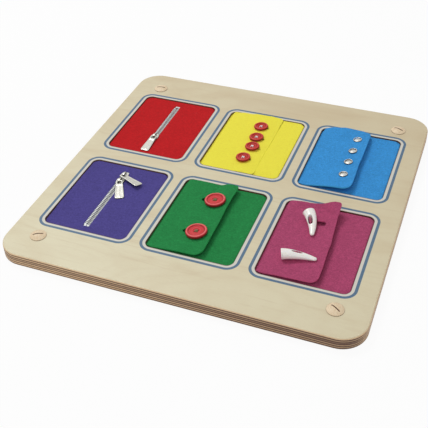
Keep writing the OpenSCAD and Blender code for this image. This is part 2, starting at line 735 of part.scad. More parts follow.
// Blue window: a flap with four snaps. Each stud is riveted through the felt.
module blue_snap_frame(i) {
  on_flap(blue_at, blue_r, snap_x, snap_y[i]) children();
}
module blue_felt() color([0.2, 0.52, 0.78]) difference() {
  flap_felt(blue_at);
  for (y = snap_y) translate([blue_at[0] + hinge_x + snap_x, blue_at[1] + y, z_pocket - cut]) {
    cylinder(d = snap_socket_d + 2 * fit_gap, h = snap_rivet_h + fit_gap + cut);
    cylinder(d = snap_post_d + 2 * fit_gap, h = felt_t + 2 * cut);
  }
}
module blue_flap_edge() color([0.2, 0.52, 0.78]) flap_edge(blue_at);
module blue_flap() color([0.22, 0.55, 0.82]) flap(blue_at, blue_flap_l, blue_r)
  for (i = [0:3]) blue_snap_frame(i)
    translate([0, 0, -flap_t - cut]) cylinder(d = snap_post_d + 2 * fit_gap, h = flap_t + 2 * cut);
module blue_snap_caps() color([0.82, 0.81, 0.77]) for (i = [0:3]) blue_snap_frame(i) {
  dome_r = (snap_cap_d * snap_cap_d / 4 + snap_cap_h * snap_cap_h) / (2 * snap_cap_h);
  translate([0, 0, snap_seat]) intersection() {
    cylinder(d = snap_cap_d - 2 * snap_cap_rim, h = snap_cap_h);
    translate([0, 0, snap_cap_h - dome_r]) sphere(dome_r, $fn = 64);
  }
  translate([0, 0, -flap_t]) cylinder(d = snap_post_d, h = flap_t + snap_seat + snap_post_grip);
}
module blue_snap_sockets() color([0.7, 0.69, 0.66]) for (i = [0:3]) blue_snap_frame(i)
  translate([0, 0, -flap_t - seat_gap - snap_socket_h]) difference() {
    cylinder(d = snap_socket_d, h = snap_socket_h);
    translate([0, 0, -cut]) cylinder(d = snap_cavity_d, h = snap_socket_h - snap_socket_top + cut);
  }
module blue_snap_studs() color([0.7, 0.69, 0.66]) for (y = snap_y)
  translate([blue_at[0] + hinge_x + snap_x, blue_at[1] + y, z_felt]) {
    cylinder(d = snap_socket_d, h = snap_plate_h);
    cylinder(d = snap_neck_d, h = snap_plate_h + snap_neck_h + cut / 4);
    translate([0, 0, snap_plate_h + snap_neck_h])
      cylinder(d1 = snap_neck_d, d2 = snap_stud_d, h = snap_head_h);
    translate([0, 0, snap_plate_h + snap_neck_h + snap_head_h])
      cylinder(d1 = snap_stud_d, d2 = snap_crown_d, h = snap_crown_h);
  }
module blue_snap_rivets() color([0.7, 0.69, 0.66]) for (y = snap_y)
  translate([blue_at[0] + hinge_x + snap_x, blue_at[1] + y, z_pocket]) {
    cylinder(d = snap_socket_d, h = snap_rivet_h);
    cylinder(d = snap_post_d, h = felt_t);
  }

// Magenta window: a flap with two horn-shaped toggles on cords
module magenta_felt() color([0.62, 0.24, 0.4]) flap_felt(magenta_at);
module magenta_flap_edge() color([0.62, 0.24, 0.4]) flap_edge(magenta_at);
module magenta_flap() color([0.65, 0.25, 0.42]) flap(magenta_at, magenta_flap_l, magenta_r)
  for (i = [0:1])
    flap_slot(magenta_at, toggle_x[i] - cord_d, toggle_y[i] + min(toggle_slot_shift,
      (toggle_slot_w - cord_d) / 2 - soft_gap), toggle_slot_l, toggle_slot_w);
module magenta_toggle_cords() color([0.55, 0.2, 0.34]) for (i = [0:1])
  on_flap(magenta_at, magenta_r, toggle_x[i], toggle_y[i]) {
    drop = drop_to_felt(magenta_r, toggle_x[i], cord_d);
    top = toggle_lift + toggle_d * toggle_flat * 0.72;
    translate([0, 0, -drop]) cylinder(d = cord_d, h = drop + top);
    translate([0, 0, top]) sphere(d = cord_d + knot_extra);
  }
module magenta_toggle_back() toggle_on_flap(0);
module magenta_toggle_front() toggle_on_flap(1);

front_panel();
back_panel();
cap_front_left();
cap_front_right();
cap_back_left();
cap_back_right();
red_felt();
red_zip_tape_left();
red_zip_tape_right();
red_zip_teeth_left();
red_zip_teeth_right();
red_zip_stops();
red_slider();
red_pull();
purple_felt();
purple_zip_tape_left();
purple_zip_tape_right();
purple_zip_teeth_left();
purple_zip_teeth_right();
purple_zip_stops();
purple_slider_front();
purple_pull_front();
purple_slider_back();
purple_pull_back();
yellow_felt();
yellow_flap();
yellow_flap_edge();
yellow_thread_shanks();
yellow_button_1();
yellow_button_2();
yellow_button_3();
yellow_button_4();
yellow_stitch_1();
yellow_stitch_2();
yellow_stitch_3();
yellow_stitch_4();
green_felt();
green_flap();
green_flap_edge();
green_thread_shanks();
green_button_back();
green_button_front();
green_stitch_back();
green_stitch_front();
blue_felt();
blue_flap();
blue_flap_edge();
blue_snap_caps();
blue_snap_sockets();
blue_snap_studs();
blue_snap_rivets();
magenta_felt();
magenta_flap();
magenta_flap_edge();
magenta_toggle_cords();
magenta_toggle_back();
magenta_toggle_front();
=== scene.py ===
"""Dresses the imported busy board: birch plywood, felt windows, zips, buttons, snaps and toggles.

Lengths are in millimetres until a mesh is made. The board lies on its back: +X is to the right,
+Y to the back edge and +Z up, with Z = 0 at the underside.
"""
from __future__ import annotations

import logging
import math
from collections.abc import Callable, Sequence
from dataclasses import dataclass
from enum import Enum
from functools import cache
from typing import Any, NamedTuple, Union

import bmesh
import bpy
from mathutils import Matrix, Vector, noise

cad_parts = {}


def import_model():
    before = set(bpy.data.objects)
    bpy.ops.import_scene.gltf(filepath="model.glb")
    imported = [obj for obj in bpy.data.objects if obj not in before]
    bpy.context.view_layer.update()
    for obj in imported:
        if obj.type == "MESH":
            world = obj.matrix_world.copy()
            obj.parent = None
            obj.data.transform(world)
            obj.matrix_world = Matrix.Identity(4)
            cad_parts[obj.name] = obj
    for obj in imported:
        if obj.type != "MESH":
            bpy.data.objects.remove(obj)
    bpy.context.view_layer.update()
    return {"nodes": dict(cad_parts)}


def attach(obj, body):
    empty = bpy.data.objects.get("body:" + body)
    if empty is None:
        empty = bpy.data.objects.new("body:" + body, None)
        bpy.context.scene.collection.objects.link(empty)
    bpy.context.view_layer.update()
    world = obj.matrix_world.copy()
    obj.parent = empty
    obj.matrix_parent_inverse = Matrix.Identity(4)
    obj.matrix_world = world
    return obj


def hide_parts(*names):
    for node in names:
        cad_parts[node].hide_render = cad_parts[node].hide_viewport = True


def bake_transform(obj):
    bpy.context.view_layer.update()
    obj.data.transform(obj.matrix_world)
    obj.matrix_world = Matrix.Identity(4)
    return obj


Point2 = tuple[float, float]
Point3 = tuple[float, float, float]
Colour = tuple[float, float, float]
Distance = Callable[[float, float], float]
Height = Callable[[float, float], float]
Mesh = bmesh.types.BMesh
Vert = bmesh.types.BMVert
Ring = list[Vert]
Cell = tuple[int, int]
Piece = bpy.types.Object
Material = bpy.types.Material

LOG = logging.getLogger("busy_board")
MM = 0.001
FACE_Z = 15.0
SEAM_Z = 12.0
PITCH: Point2 = (123.0, 78.5)
WINDOW_HALF: Point2 = (50.0, 63.0)
WINDOW_CORNER = 8.0
ZIP_SHIFT = -1.5
ZIP_X = ZIP_SHIFT - PITCH[0]
# Name of the mesh mark that places the buttons' painted highlight and shade.
RIM_LIGHT_MARK = "crest"
TUBE_SIDES = 8


# --- Shader expressions -------------------------------------------------------------------------


class Shade:
    """A number socket of a node tree that Python's operators work on."""

    def __init__(self, tree: Tree, socket: bpy.types.NodeSocket) -> None:
        """Wraps an output socket of a tree."""
        self.tree = tree
        self.socket = socket

    def maths(self, operation: str, *others: Operand, first: Operand | None = None) -> Shade:
        """Adds one Math node on this and the others, with first put before this."""
        row = ([] if first is None else [first]) + [self, *others]
        return self.tree.value("ShaderNodeMath", {"operation": operation}, dict(enumerate(row)))

    def __add__(self, other: Operand) -> Shade:
        """Sum of both."""
        return self.maths("ADD", other)

    __radd__ = __add__

    def __sub__(self, other: Operand) -> Shade:
        """This less the other."""
        return self.maths("SUBTRACT", other)

    def __rsub__(self, other: Operand) -> Shade:
        """The other less this."""
        return self.maths("SUBTRACT", first=other)

    def __mul__(self, other: Operand) -> Shade:
        """Product of both."""
        return self.maths("MULTIPLY", other)

    __rmul__ = __mul__

    def __truediv__(self, other: Operand) -> Shade:
        """This over the other."""
        return self.maths("DIVIDE", other)

    def __rtruediv__(self, other: Operand) -> Shade:
        """The other over this."""
        return self.maths("DIVIDE", first=other)

    def __pow__(self, other: Operand) -> Shade:
        """This to a power."""
        return self.maths("POWER", other)

    def __mod__(self, other: Operand) -> Shade:
        """This wrapped to stay from 0 to the other."""
        return self.maths("WRAP", other, 0.0)

    def __abs__(self) -> Shade:
        """Size without sign."""
        return self.maths("ABSOLUTE")

    def __lt__(self, other: Operand) -> Shade:
        """1 where this is less."""
        return self.maths("LESS_THAN", other)

    def __gt__(self, other: Operand) -> Shade:
        """1 where this is more."""
        return self.maths("GREATER_THAN", other)

    def clip(self) -> Shade:
        """This kept from 0 to 1."""
        return self.tree.value("ShaderNodeClamp", {}, {"Value": self})

    def at_least(self, low: Operand) -> Shade:
        """The larger of both."""
        return self.maths("MAXIMUM", low)

    def at_most(self, high: Operand) -> Shade:
        """The smaller of both."""
        return self.maths("MINIMUM", high)

    def rise(self, low: float, high: float) -> Shade:
        """Goes smoothly from 0 at low to 1 at high."""
        return self.tree.value("ShaderNodeMapRange", {"interpolation_type": "SMOOTHSTEP"},
                               {"Value": self, "From Min": low, "From Max": high})

    def fill(self, stain: Stain) -> Shade:
        """How much a stain covers where this is its pattern."""
        return self.rise(stain.low, stain.high) * stain.most


Operand = Union[Shade, float, int]


class Grain(NamedTuple):
    """The make-up of a soft noise.

    The stretch scales each axis. The lie gives X and Y each as a sum of both, for a pattern that
    runs aslant.
    """

    detail: float
    rough: float
    twist: float = 0.0
    scale: float = 1.0
    stretch: Point3 | None = None
    lie: tuple[Point2, Point2] | None = None


class Stain(NamedTuple):
    """Where a pattern sets in and is full, how much it covers and how it tones its colour."""

    low: float
    high: float
    most: float = 1.0
    tone: float = 1.0

    def times(self, share: float) -> Stain:
        """The same stain, stronger or weaker by a share."""
        return self._replace(most=self.most * share)


class Tree:
    """The nodes of a material or of the world."""

    def __init__(self, owner: Material | bpy.types.World) -> None:
        """Starts with an empty node tree.

        Args:
            owner: The material or world that holds it.
        """
        owner.use_nodes = True
        self.nodes = owner.node_tree.nodes
        self.links = owner.node_tree.links
        self.nodes.clear()

    def join(self, source: Any, target: bpy.types.NodeSocket) -> None:
        """Links a socket to another, or sets its value.

        Args:
            source: A Shade, a socket or a plain value.
            target: The input socket.
        """
        if isinstance(source, Shade):
            source = source.socket
        if isinstance(source, bpy.types.NodeSocket):
            self.links.new(source, target)
        elif isinstance(source, tuple) and target.type == "RGBA":
            target.default_value = (*source, 1.0)
        else:
            target.default_value = source

    def node(self, kind: str, settings: dict[str, Any], sockets: dict[Any, Any]) -> bpy.types.Node:
        """Adds any node.

        Args:
            kind: The node's type.
            settings: Its own settings, set first.
            sockets: The values or links of its inputs, by index or name.

        Returns:
            The node.
        """
        made = self.nodes.new(kind)
        for key, value in settings.items():
            setattr(made, key, value)
        for key, value in sockets.items():
            self.join(value, made.inputs[key])
        return made

    def value(self, kind: str, settings: dict[str, Any], sockets: dict[Any, Any],
              output: int | str = 0) -> Shade:
        """Adds a node, as node() does, and gives one of its outputs."""
        return Shade(self, self.node(kind, settings, sockets).outputs[output])

    def background_seen(self) -> Shade:
        """Finds the rays that show the background: seen, off gloss or through glass.

        Returns:
            1 for such a ray.
        """
        outputs = self.node("ShaderNodeLightPath", {}, {}).outputs
        camera, gloss, glass = (Shade(self, outputs[f"Is {name} Ray"])
                                for name in ("Camera", "Glossy", "Transmission"))
        return camera.at_least(gloss).at_least(glass)


class Surface(Tree):
    """A material with a Principled surface."""

    def __init__(self, name: str) -> None:
        """Starts the material.

        Args:
            name: The material's name.
        """
        self.material = bpy.data.materials.new(name)
        super().__init__(self.material)
        self.shader = self.node("ShaderNodeBsdfPrincipled", {}, {})
        self.output = self.node("ShaderNodeOutputMaterial", {},
                                {"Surface": self.shader.outputs["BSDF"]})

    def place(self) -> Shade:
        """The point on the piece, in millimetres of the board's frame."""
        point = self.value("ShaderNodeTexCoord", {}, {}, "Object")
        return self.value("ShaderNodeVectorMath", {"operation": "SCALE"},
                          {"Vector": point, "Scale": 1 / MM})

    def upright(self) -> Shade:
        """The Z of the piece's own normal, without its sign."""
        return abs(self.parts(self.value("ShaderNodeTexCoord", {}, {}, "Normal"))[2])

    def face_normal(self) -> tuple[Shade, Shade, Shade]:
        """The X, Y and Z of the flat face's normal."""
        return self.parts(self.value("ShaderNodeNewGeometry", {}, {}, "True Normal"))

    def parts(self, vector: Shade) -> tuple[Shade, Shade, Shade]:
        """The X, Y and Z of a vector."""
        x, y, z = self.node("ShaderNodeSeparateXYZ", {}, {"Vector": vector}).outputs
        return Shade(self, x), Shade(self, y), Shade(self, z)

    def cloud(self, spot: Shade, grain: Grain) -> Shade:
        """Soft noise.

        Args:
            spot: Where it is read.
            grain: Its make-up.

        Returns:
            The noise, about 0.5 on average.
        """
        if grain.stretch:
            spot = self.value("ShaderNodeVectorMath", {"operation": "MULTIPLY"},
                              {0: spot, 1: grain.stretch})
        if grain.lie:
            x, y, z = self.parts(spot)
            across, along = (x * a + y * b for a, b in grain.lie)
            spot = self.value("ShaderNodeCombineXYZ", {}, {"X": across, "Y": along, "Z": z})
        return self.value("ShaderNodeTexNoise", {},
                          {"Vector": spot, "Scale": grain.scale, "Detail": grain.detail,
                           "Roughness": grain.rough, "Distortion": grain.twist})

    def blend(self, share: Operand, low: Any, high: Any) -> Shade:
        """A colour between two.

        Args:
            share: 0 for low and 1 for high.
            low: A colour or a colour socket.
            high: A colour or a colour socket.

        Returns:
            The mixed colour.
        """
        factor, colour_a, colour_b, result = 0, 6, 7, 2
        return self.value("ShaderNodeMix", {"data_type": "RGBA"},
                          {factor: share, colour_a: low, colour_b: high}, result)

    def stain(self, base: Any, pattern: Shade, stain: Stain, colour: Colour) -> Shade:
        """Lays a colour, toned as the stain says, over a base where its pattern is strong."""
        return self.blend(pattern.fill(stain), base, toned(colour, stain.tone))

    def bump(self, height: Shade, depth: float, strength: float) -> Shade:
        """A normal from a height of 0 to 1, whose depth is in millimetres."""
        return self.value("ShaderNodeBump", {},
                          {"Strength": strength, "Distance": depth * MM, "Height": height})

    def finish(self, **sockets: Any) -> Material:
        """Sets the shader's sockets.

        Args:
            sockets: Values or links, with _ for a space in the socket's name.

        Returns:
            The material.
        """
        for key, value in sockets.items():
            self.join(value, self.shader.inputs[key.replace("_", " ")])
        return self.material


def linear(red: int, green: int, blue: int) -> Colour:
    """A colour as a shader reads it.

    Args:
        red: Red as a screen shows it, from 0 to 255.
        green: Green in the same way.
        blue: Blue in the same way.

    Returns:
        The same colour with linear parts.
    """
    def part(value: int) -> float:
        """One part of the colour."""
        share = value / 255
        return share / 12.92 if share <= 0.04045 else ((share + 0.055) / 1.055) ** 2.4

    return part(red), part(green), part(blue)


def toned(colour: Colour, factor: float) -> Colour:
    """A colour made darker or lighter by a factor."""
    return tuple(min(1.0, c * factor) for c in colour)


# --- Finishes -----------------------------------------------------------------------------------


@dataclass(frozen=True)
class Birch:
    """Birch plywood with a clear varnish, printed outlines, scorched window edges, and painted
    light and shade on its face and edges.
    """

    name: str = "birch_plywood"
    pale: Colour = linear(229, 221, 189)
    warm: Colour = linear(209, 191, 155)
    vein: Colour = linear(198, 175, 139)
    light_ply: Colour = linear(245, 206, 160)
    dark_ply: Colour = linear(78, 42, 26)
    glue: Colour = linear(84, 50, 38)
    scorch: Colour = linear(72, 38, 28)
    ink: Colour = linear(8, 86, 128)
    white: Colour = linear(217, 213, 202)
    figure: Grain = Grain(5.0, 0.62, 0.9, stretch=(0.012, 0.15, 0.05))
    haze: Grain = Grain(3.0, 0.5, 1.6, stretch=(0.006, 0.013, 0.0))
    pore: Grain = Grain(3.0, 0.6, stretch=(0.16, 2.2, 1.0))
    ring: Grain = Grain(1.5, 0.4, 0.6, stretch=(0.0035, 0.011, 0.0))
    end_grain: Grain = Grain(4.0, 0.6, stretch=(0.3, 0.3, 2.2))
    wear: Grain = Grain(3.0, 0.7, scale=0.7)
    rings: float = 17.0
    haze_stain: Stain = Stain(0.36, 0.68, 0.3)
    figure_stain: Stain = Stain(0.52, 0.78, 0.3)
    pore_stain: Stain = Stain(0.5, 0.8, 0.3)
    grain_stain: Stain = Stain(0.45, 0.75, 0.3)
    flame_fade: Point2 = (0.2, 0.5)
    flame_share: Point2 = (0.02, 0.14)
    # Painted shade: the face runs from pale at the front left to warm and darker towards the back
    # and the right.
    painted_falloff: Point3 = (0.0006, 0.0014, 0.36)
    core_ply: float = 4.0 / 3.0
    face_ply: float = 1.5
    face_ply_pale: Point2 = (0.8, 0.7)
    heart: Stain = Stain(2.6, 0.9, 0.36)
    heart_z: float = 8.9
    # Painted shade: the plies darken towards the foot, where the board meets the floor.
    foot: Stain = Stain(1.7, 0.2, 0.35)
    # Painted shade: the plies darken towards the right.
    painted_shade_east: Point2 = (0.0016, 0.18)
    # Painted light: the plies lighten towards the left.
    painted_west_light: Point2 = (-0.0008, 0.03)
    # Painted light: the left and right edges get lighter plies, and only this share of heart's
    # darkening.
    painted_side_light: float = 0.4
    side_heart: float = 0.2
    glue_near: Point2 = (0.17, 0.04)
    glue_share: float = 0.3
    glue_broken: Point2 = (0.6, 0.55)
    line_out: float = 4.95
    line_half: float = 1.58
    band_out: float = 3.5
    print_soft: float = 0.2
    print_depth: float = 0.3
    ink_worn: Point2 = (1.02, 0.22)
    band_worn: Point2 = (0.97, 0.14)
    singe_out: float = 0.35
    # The scorch reaches this much further at each window's front edge: partly scorch, partly
    # painted shadow cast forward by a raised flap.
    singe_and_shadow_front: float = 0.4
    singe_reach: float = 3.0
    char: Point2 = (0.9, 0.3)
    char_share: Point2 = (0.62, 0.5)
    is_side: Point2 = (0.96, 0.5)
    is_flat: Point2 = (0.75, 0.95)
    is_facing: Point2 = (0.2, 0.9)

    def material(self) -> Material:
        """Builds the material.

        Returns:
            The material of both panels.
        """
        t = Surface(self.name)
        spot = t.place()
        _, normal_y, normal_z = t.face_normal()
        upright = abs(normal_z)
        side = upright.rise(*self.is_side)
        figure, pores = t.cloud(spot, self.figure), t.cloud(spot, self.pore)
        plies, glued = self.plies(t, spot, abs(normal_y).rise(*self.is_facing))
        wood = t.blend(side, self.face(t, spot, figure, pores), plies)
        wood = self.printed(t, spot, wood, side, upright.rise(*self.is_flat))
        return t.finish(Base_Color=wood, Roughness=(0.42 + figure * 0.16 + side * 0.14).clip(),
                        Coat_Weight=0.12, Coat_Roughness=0.3,
                        Normal=t.bump(pores * 0.5 + figure * 0.5 - glued * side * 0.6, 0.12, 0.35))

    def face(self, t: Surface, spot: Shade, figure: Shade, pores: Shade) -> Shade:
        """The colour of the face veneer, with painted shade towards the back and the right.

        Args:
            t: The material's nodes.
            spot: The point on the panel.
            figure: The veneer's long streaks.
            pores: Its fine pores.

        Returns:
            The colour.
        """
        x, y, _ = t.parts(spot)
        flame = abs(t.cloud(spot, self.ring) * self.rings % 1.0 - 0.5).rise(*self.flame_fade)
        haze = t.cloud(spot, self.haze).fill(self.haze_stain)
        # Painted shade: warmer and darker towards the back and the right, mixed with the random
        # haze.
        per_x, per_y, start = self.painted_falloff
        face = t.blend((x * per_x + y * per_y + start + haze).clip(), self.pale, self.warm)
        face = t.stain(face, figure, self.figure_stain, self.vein)
        face = t.stain(face, pores, self.pore_stain, self.vein)
        least, more = self.flame_share
        return t.blend(flame * (least + figure * more), face, self.vein)

    def plies(self, t: Surface, spot: Shade, facing: Shade) -> tuple[Shade, Shade]:
        """The layers that show at the edges: darker inside the board, with painted shade towards
        the right and at the foot, and painted light towards the left and on the left and right
        edges.

        Args:
            t: The material's nodes.
            spot: The point on the panel.
            facing: 1 on the front and back edges and 0 on the left and right ones.

        Returns:
            The colour, and how near a glue line lies.
        """
        x, _, z = t.parts(spot)
        grain = t.cloud(spot, self.end_grain)
        in_front = z > SEAM_Z
        top_ply = z > FACE_Z - self.face_ply
        thick = in_front * (self.face_ply - self.core_ply) + self.core_ply
        layer = (z - in_front * SEAM_Z) / thick
        dark = abs(((layer * 0.5 % 1.0) > 0.5) - in_front)
        # Painted light: lighter plies towards the left and on the left and right edges.
        slope, start = self.painted_west_light
        painted_light_share = (x * slope + start).clip().at_least((1.0 - facing) * self.painted_side_light)
        dark = dark * (1.0 - top_ply * self.face_ply_pale[0]) * (z > self.core_ply)
        plies = t.blend(dark * (1.0 - painted_light_share), self.light_ply, self.dark_ply)
        # heart adds the inner plies' own darker tone to painted shade at the foot and towards the
        # right.
        slope, start = self.painted_shade_east
        heart = (abs(z - self.heart_z).fill(self.heart) + z.fill(self.foot)
                 + (x * slope + start).clip())
        heart = heart * (facing * (1.0 - self.side_heart) + self.side_heart)
        plies = t.blend(heart.clip() * (1.0 - top_ply * self.face_ply_pale[1]), plies,
                        self.dark_ply)
        plies = t.stain(plies, grain, self.grain_stain, self.dark_ply)
        within = layer % 1.0
        glued = (within.at_most(1.0 - within) * thick).rise(*self.glue_near)
        more, least = self.glue_broken
        broken = (grain * more + least).clip()
        return t.blend(glued * self.glue_share * broken, plies, self.glue), glued

    def printed(self, t: Surface, spot: Shade, wood: Shade, side: Shade, flat: Shade) -> Shade:
        """Prints the outlines round the windows and scorches the windows' edges, widened at their
        front edges partly as painted shadow.

        Args:
            t: The material's nodes.
            spot: The point on the panel.
            wood: The bare wood's colour.
            side: 1 on the cut edges.
            flat: 1 on the flat faces.

        Returns:
            The colour.
        """
        x, y, z = t.parts(spot)
        wear = t.cloud(spot, self.wear)
        folded = (x + PITCH[0] / 2) % PITCH[0] - PITCH[0] / 2
        reach_x = (abs(folded) - (WINDOW_HALF[0] - WINDOW_CORNER)).at_least(0.0)
        reach_y = (abs(abs(y) - PITCH[1]) - (WINDOW_HALF[1] - WINDOW_CORNER)).at_least(0.0)
        away = (reach_x * reach_x + reach_y * reach_y) ** 0.5 - WINDOW_CORNER
        inner = abs(x) < PITCH[0] * 1.5
        on_face = flat * (z > FACE_Z - self.print_depth) * inner
        soft = self.print_soft
        band = away.rise(self.band_out + soft, self.band_out - soft) * on_face
        full, loss = self.band_worn
        wood = t.blend(band * (full - wear * loss), wood, self.white)
        line = abs(away - self.line_out).rise(self.line_half + soft, self.line_half - soft)
        full, loss = self.ink_worn
        wood = t.blend(line * on_face * (full - wear * loss), wood, self.ink)
        # Towards each window's front edge the dark band widens, partly as painted shadow.
        middle_y = y - (y > 0.0) * (2 * PITCH[1]) + PITCH[1]
        front = middle_y.rise(self.singe_reach - WINDOW_HALF[1], -WINDOW_HALF[1])
        singe = (away - front * self.singe_and_shadow_front).rise(self.singe_out + soft,
                                                       self.singe_out - soft)
        burnt = (side * inner * away.rise(*self.char)).at_least(on_face * singe)
        least, more = self.char_share
        return t.blend(burnt * (least + wear * more).clip(), wood, self.scorch)


@dataclass(frozen=True)
class CapWood:
    """Turned beech of the screw caps, with its grain across the head, darker towards its foot and
    painted shade in its slot.
    """

    name: str = "cap_beech"
    pale: Colour = linear(238, 217, 184)
    deep: Colour = linear(226, 198, 160)
    # Dark colour of the cap's foot and of the painted shade in its slot.
    cut: Colour = linear(100, 62, 40)
    grain: Grain = Grain(4.0, 0.6, 0.5, stretch=(0.9, 0.14, 0.9))
    fleck: Grain = Grain(2.0, 0.5, stretch=(4.0, 0.9, 4.0))
    grain_stain: Stain = Stain(0.4, 0.7)
    fleck_stain: Stain = Stain(0.6, 0.75, 0.25, 0.8)
    rim_fade: Point2 = (15.75, 15.2)
    slot_z: float = 17.0
    slot_soft: float = 0.2
    slot_near: Point2 = (0.12, 0.05)
    slot_shade_share: float = 0.9
    is_flat: Point2 = (0.97, 0.995)
    is_steep: Point2 = (0.6, 0.3)

    def material(self) -> Material:
        """Builds the material.

        Returns:
            The caps' material.
        """
        t = Surface(self.name)
        spot = t.place()
        z = t.parts(spot)[2]
        grain, fleck = t.cloud(spot, self.grain), t.cloud(spot, self.fleck)
        wood = t.stain(self.pale, grain, self.grain_stain, self.deep)
        wood = t.stain(wood, fleck, self.fleck_stain, self.deep)
        # Darker towards the cap's foot.
        wood = t.blend(z.rise(*self.rim_fade), wood, self.cut)
        upright = t.face_normal()[2]
        # Painted shade: the slot's floor and walls take the dark colour.
        floor = abs(z - self.slot_z).rise(*self.slot_near) * upright.rise(*self.is_flat)
        wall = upright.rise(*self.is_steep) * z.rise(self.slot_z - self.slot_soft, self.slot_z)
        wood = t.blend(floor.at_least(wall) * self.slot_shade_share, wood, self.cut)
        return t.finish(Base_Color=wood, Roughness=(0.42 + fleck * 0.2).clip(),
                        Normal=t.bump(grain * 0.5 + fleck * 0.5, 0.15, 0.4))


@dataclass(frozen=True)
class Felt:
    """Pressed wool felt: matted fibres, slight mottling, a soft sheen and a painted highlight on
    its steep cut edges.

    The fleck is the tone of the dark fibres; the light ones are as far above 1. The mottle sets
    how strongly the clumps show.
    """

    name: str
    colour: Colour
    fleck: float
    mottle: float
    mat: Grain = Grain(6.0, 0.75, 1.2, scale=0.55)
    strand: Grain = Grain(3.0, 0.7, 2.2, lie=((0.7, 0.5), (-2.3, 3.2)))
    cross: Grain = Grain(3.0, 0.7, 2.2, lie=((3.0, 1.7), (-0.4, 0.7)))
    clump: Grain = Grain(4.0, 0.7, 1.5, lie=((0.3, 0.16), (-0.2, 0.42)))
    patch: Grain = Grain(3.0, 0.6, scale=0.05)
    mat_fade: Point2 = (0.36, 0.66)
    patch_stain: Stain = Stain(0.35, 0.7, 2.6, 0.76)
    clump_light: Stain = Stain(0.5, 0.64, 5.4, 1.42)
    clump_dark: Stain = Stain(0.48, 0.34, 5.4, 0.66)
    strand_stain: Stain = Stain(0.6, 0.76, 0.42, 1.35)
    cross_stain: Stain = Stain(0.6, 0.76, 0.3, 0.7)
    # Painted highlight: steep cut edges are lightened as if they caught the light.
    painted_edge_light: Stain = Stain(0.8, 0.35, 0.8, 1.7)
    sheen: float = 1.6
    relief: Point2 = (0.6, 0.7)

    def material(self) -> Material:
        """Builds the material.

        Returns:
            The felt's material.
        """
        t = Surface(self.name)
        spot = t.place()
        mat, strands, cross, clumps = (
            t.cloud(spot, grain) for grain in (self.mat, self.strand, self.cross, self.clump))
        shade = t.blend(mat.rise(*self.mat_fade), toned(self.colour, self.fleck),
                        toned(self.colour, 2.0 - self.fleck))
        # The last stain is a painted highlight on the steep cut edges.
        for pattern, stain in ((t.cloud(spot, self.patch), self.patch_stain.times(self.mottle)),
                               (clumps, self.clump_light.times(self.mottle)),
                               (clumps, self.clump_dark.times(self.mottle)),
                               (strands, self.strand_stain), (cross, self.cross_stain),
                               (t.upright(), self.painted_edge_light)):
            shade = t.stain(shade, pattern, stain, self.colour)
        matted, loose = self.relief
        height = mat * matted + strands.at_least(cross) * loose
        return t.finish(Base_Color=shade, Roughness=(0.86 + mat * 0.12).clip(),
                        Specular_IOR_Level=0.22, Sheen_Weight=0.18, Sheen_Roughness=0.55,
                        Sheen_Tint=toned(self.colour, self.sheen),
                        Normal=t.bump(height, 0.5, 0.55))


class Polish(Enum):
    """How a metal part is finished: its colour, roughness, scratch depth and the tone of the
    painted shade on its steep sides.
    """

    PULL = ((0.60, 0.59, 0.53), 0.3, 0.05, 0.2)
    CHAIN = ((0.64, 0.65, 0.64), 0.62, 0.08, 0.34)
    PEARL = ((0.56, 0.56, 0.53), 0.32, 0.03, 0.16)
    SATIN = ((0.60, 0.58, 0.54), 0.34, 0.05, 0.3)


@dataclass(frozen=True)
class Metal:
    """Plated metal with fine handling marks and painted shade on its steep sides, standing in for
    the dark felt they reflect.

    A groove_x adds painted shade along the line where the two rows of a zip meet.
    """

    name: str
    polish: Polish
    groove_x: float | None = None
    smear: Grain = Grain(4.0, 0.6, scale=0.6)
    scratch: Grain = Grain(3.0, 0.7, stretch=(5.0, 0.5, 5.0))
    smear_stain: Stain = Stain(0.35, 0.7, 1.0, 0.84)
    # Painted shade on steep sides; its tone comes from the polish.
    painted_side_shade: Stain = Stain(0.97, 0.5)
    # Painted shade along the zip's middle, darkest in the line where the two rows meet; the button
    # resin uses the groove one for its ring groove.
    painted_middle_shade: Stain = Stain(2.7, 2.3, 1.0, 0.82)
    painted_groove_shade: Stain = Stain(0.36, 0.1, 1.0, 0.2)

    def material(self) -> Material:
        """Builds the material.

        Returns:
            The metal's material.
        """
        colour, rough, marks, shade_tone = self.polish.value
        t = Surface(self.name)
        spot = t.place()
        smear, scratch = t.cloud(spot, self.smear), t.cloud(spot, self.scratch)
        shade = t.stain(colour, smear, self.smear_stain, colour)
        # Painted shade: steep sides darkened as if reflecting the dark felt.
        shade = t.stain(shade, t.upright(), self.painted_side_shade._replace(tone=shade_tone), colour)
        # Painted shade along the zip's middle line.
        if self.groove_x is not None:
            away = abs(t.parts(spot)[0] - self.groove_x)
            for stain in (self.painted_middle_shade, self.painted_groove_shade):
                shade = t.stain(shade, away, stain, colour)
        return t.finish(Base_Color=shade, Metallic=1.0,
                        Roughness=(rough + (smear - 0.5) * 0.2 + (scratch - 0.5) * 0.12).clip(),
                        Normal=t.bump(scratch, marks, 0.5))


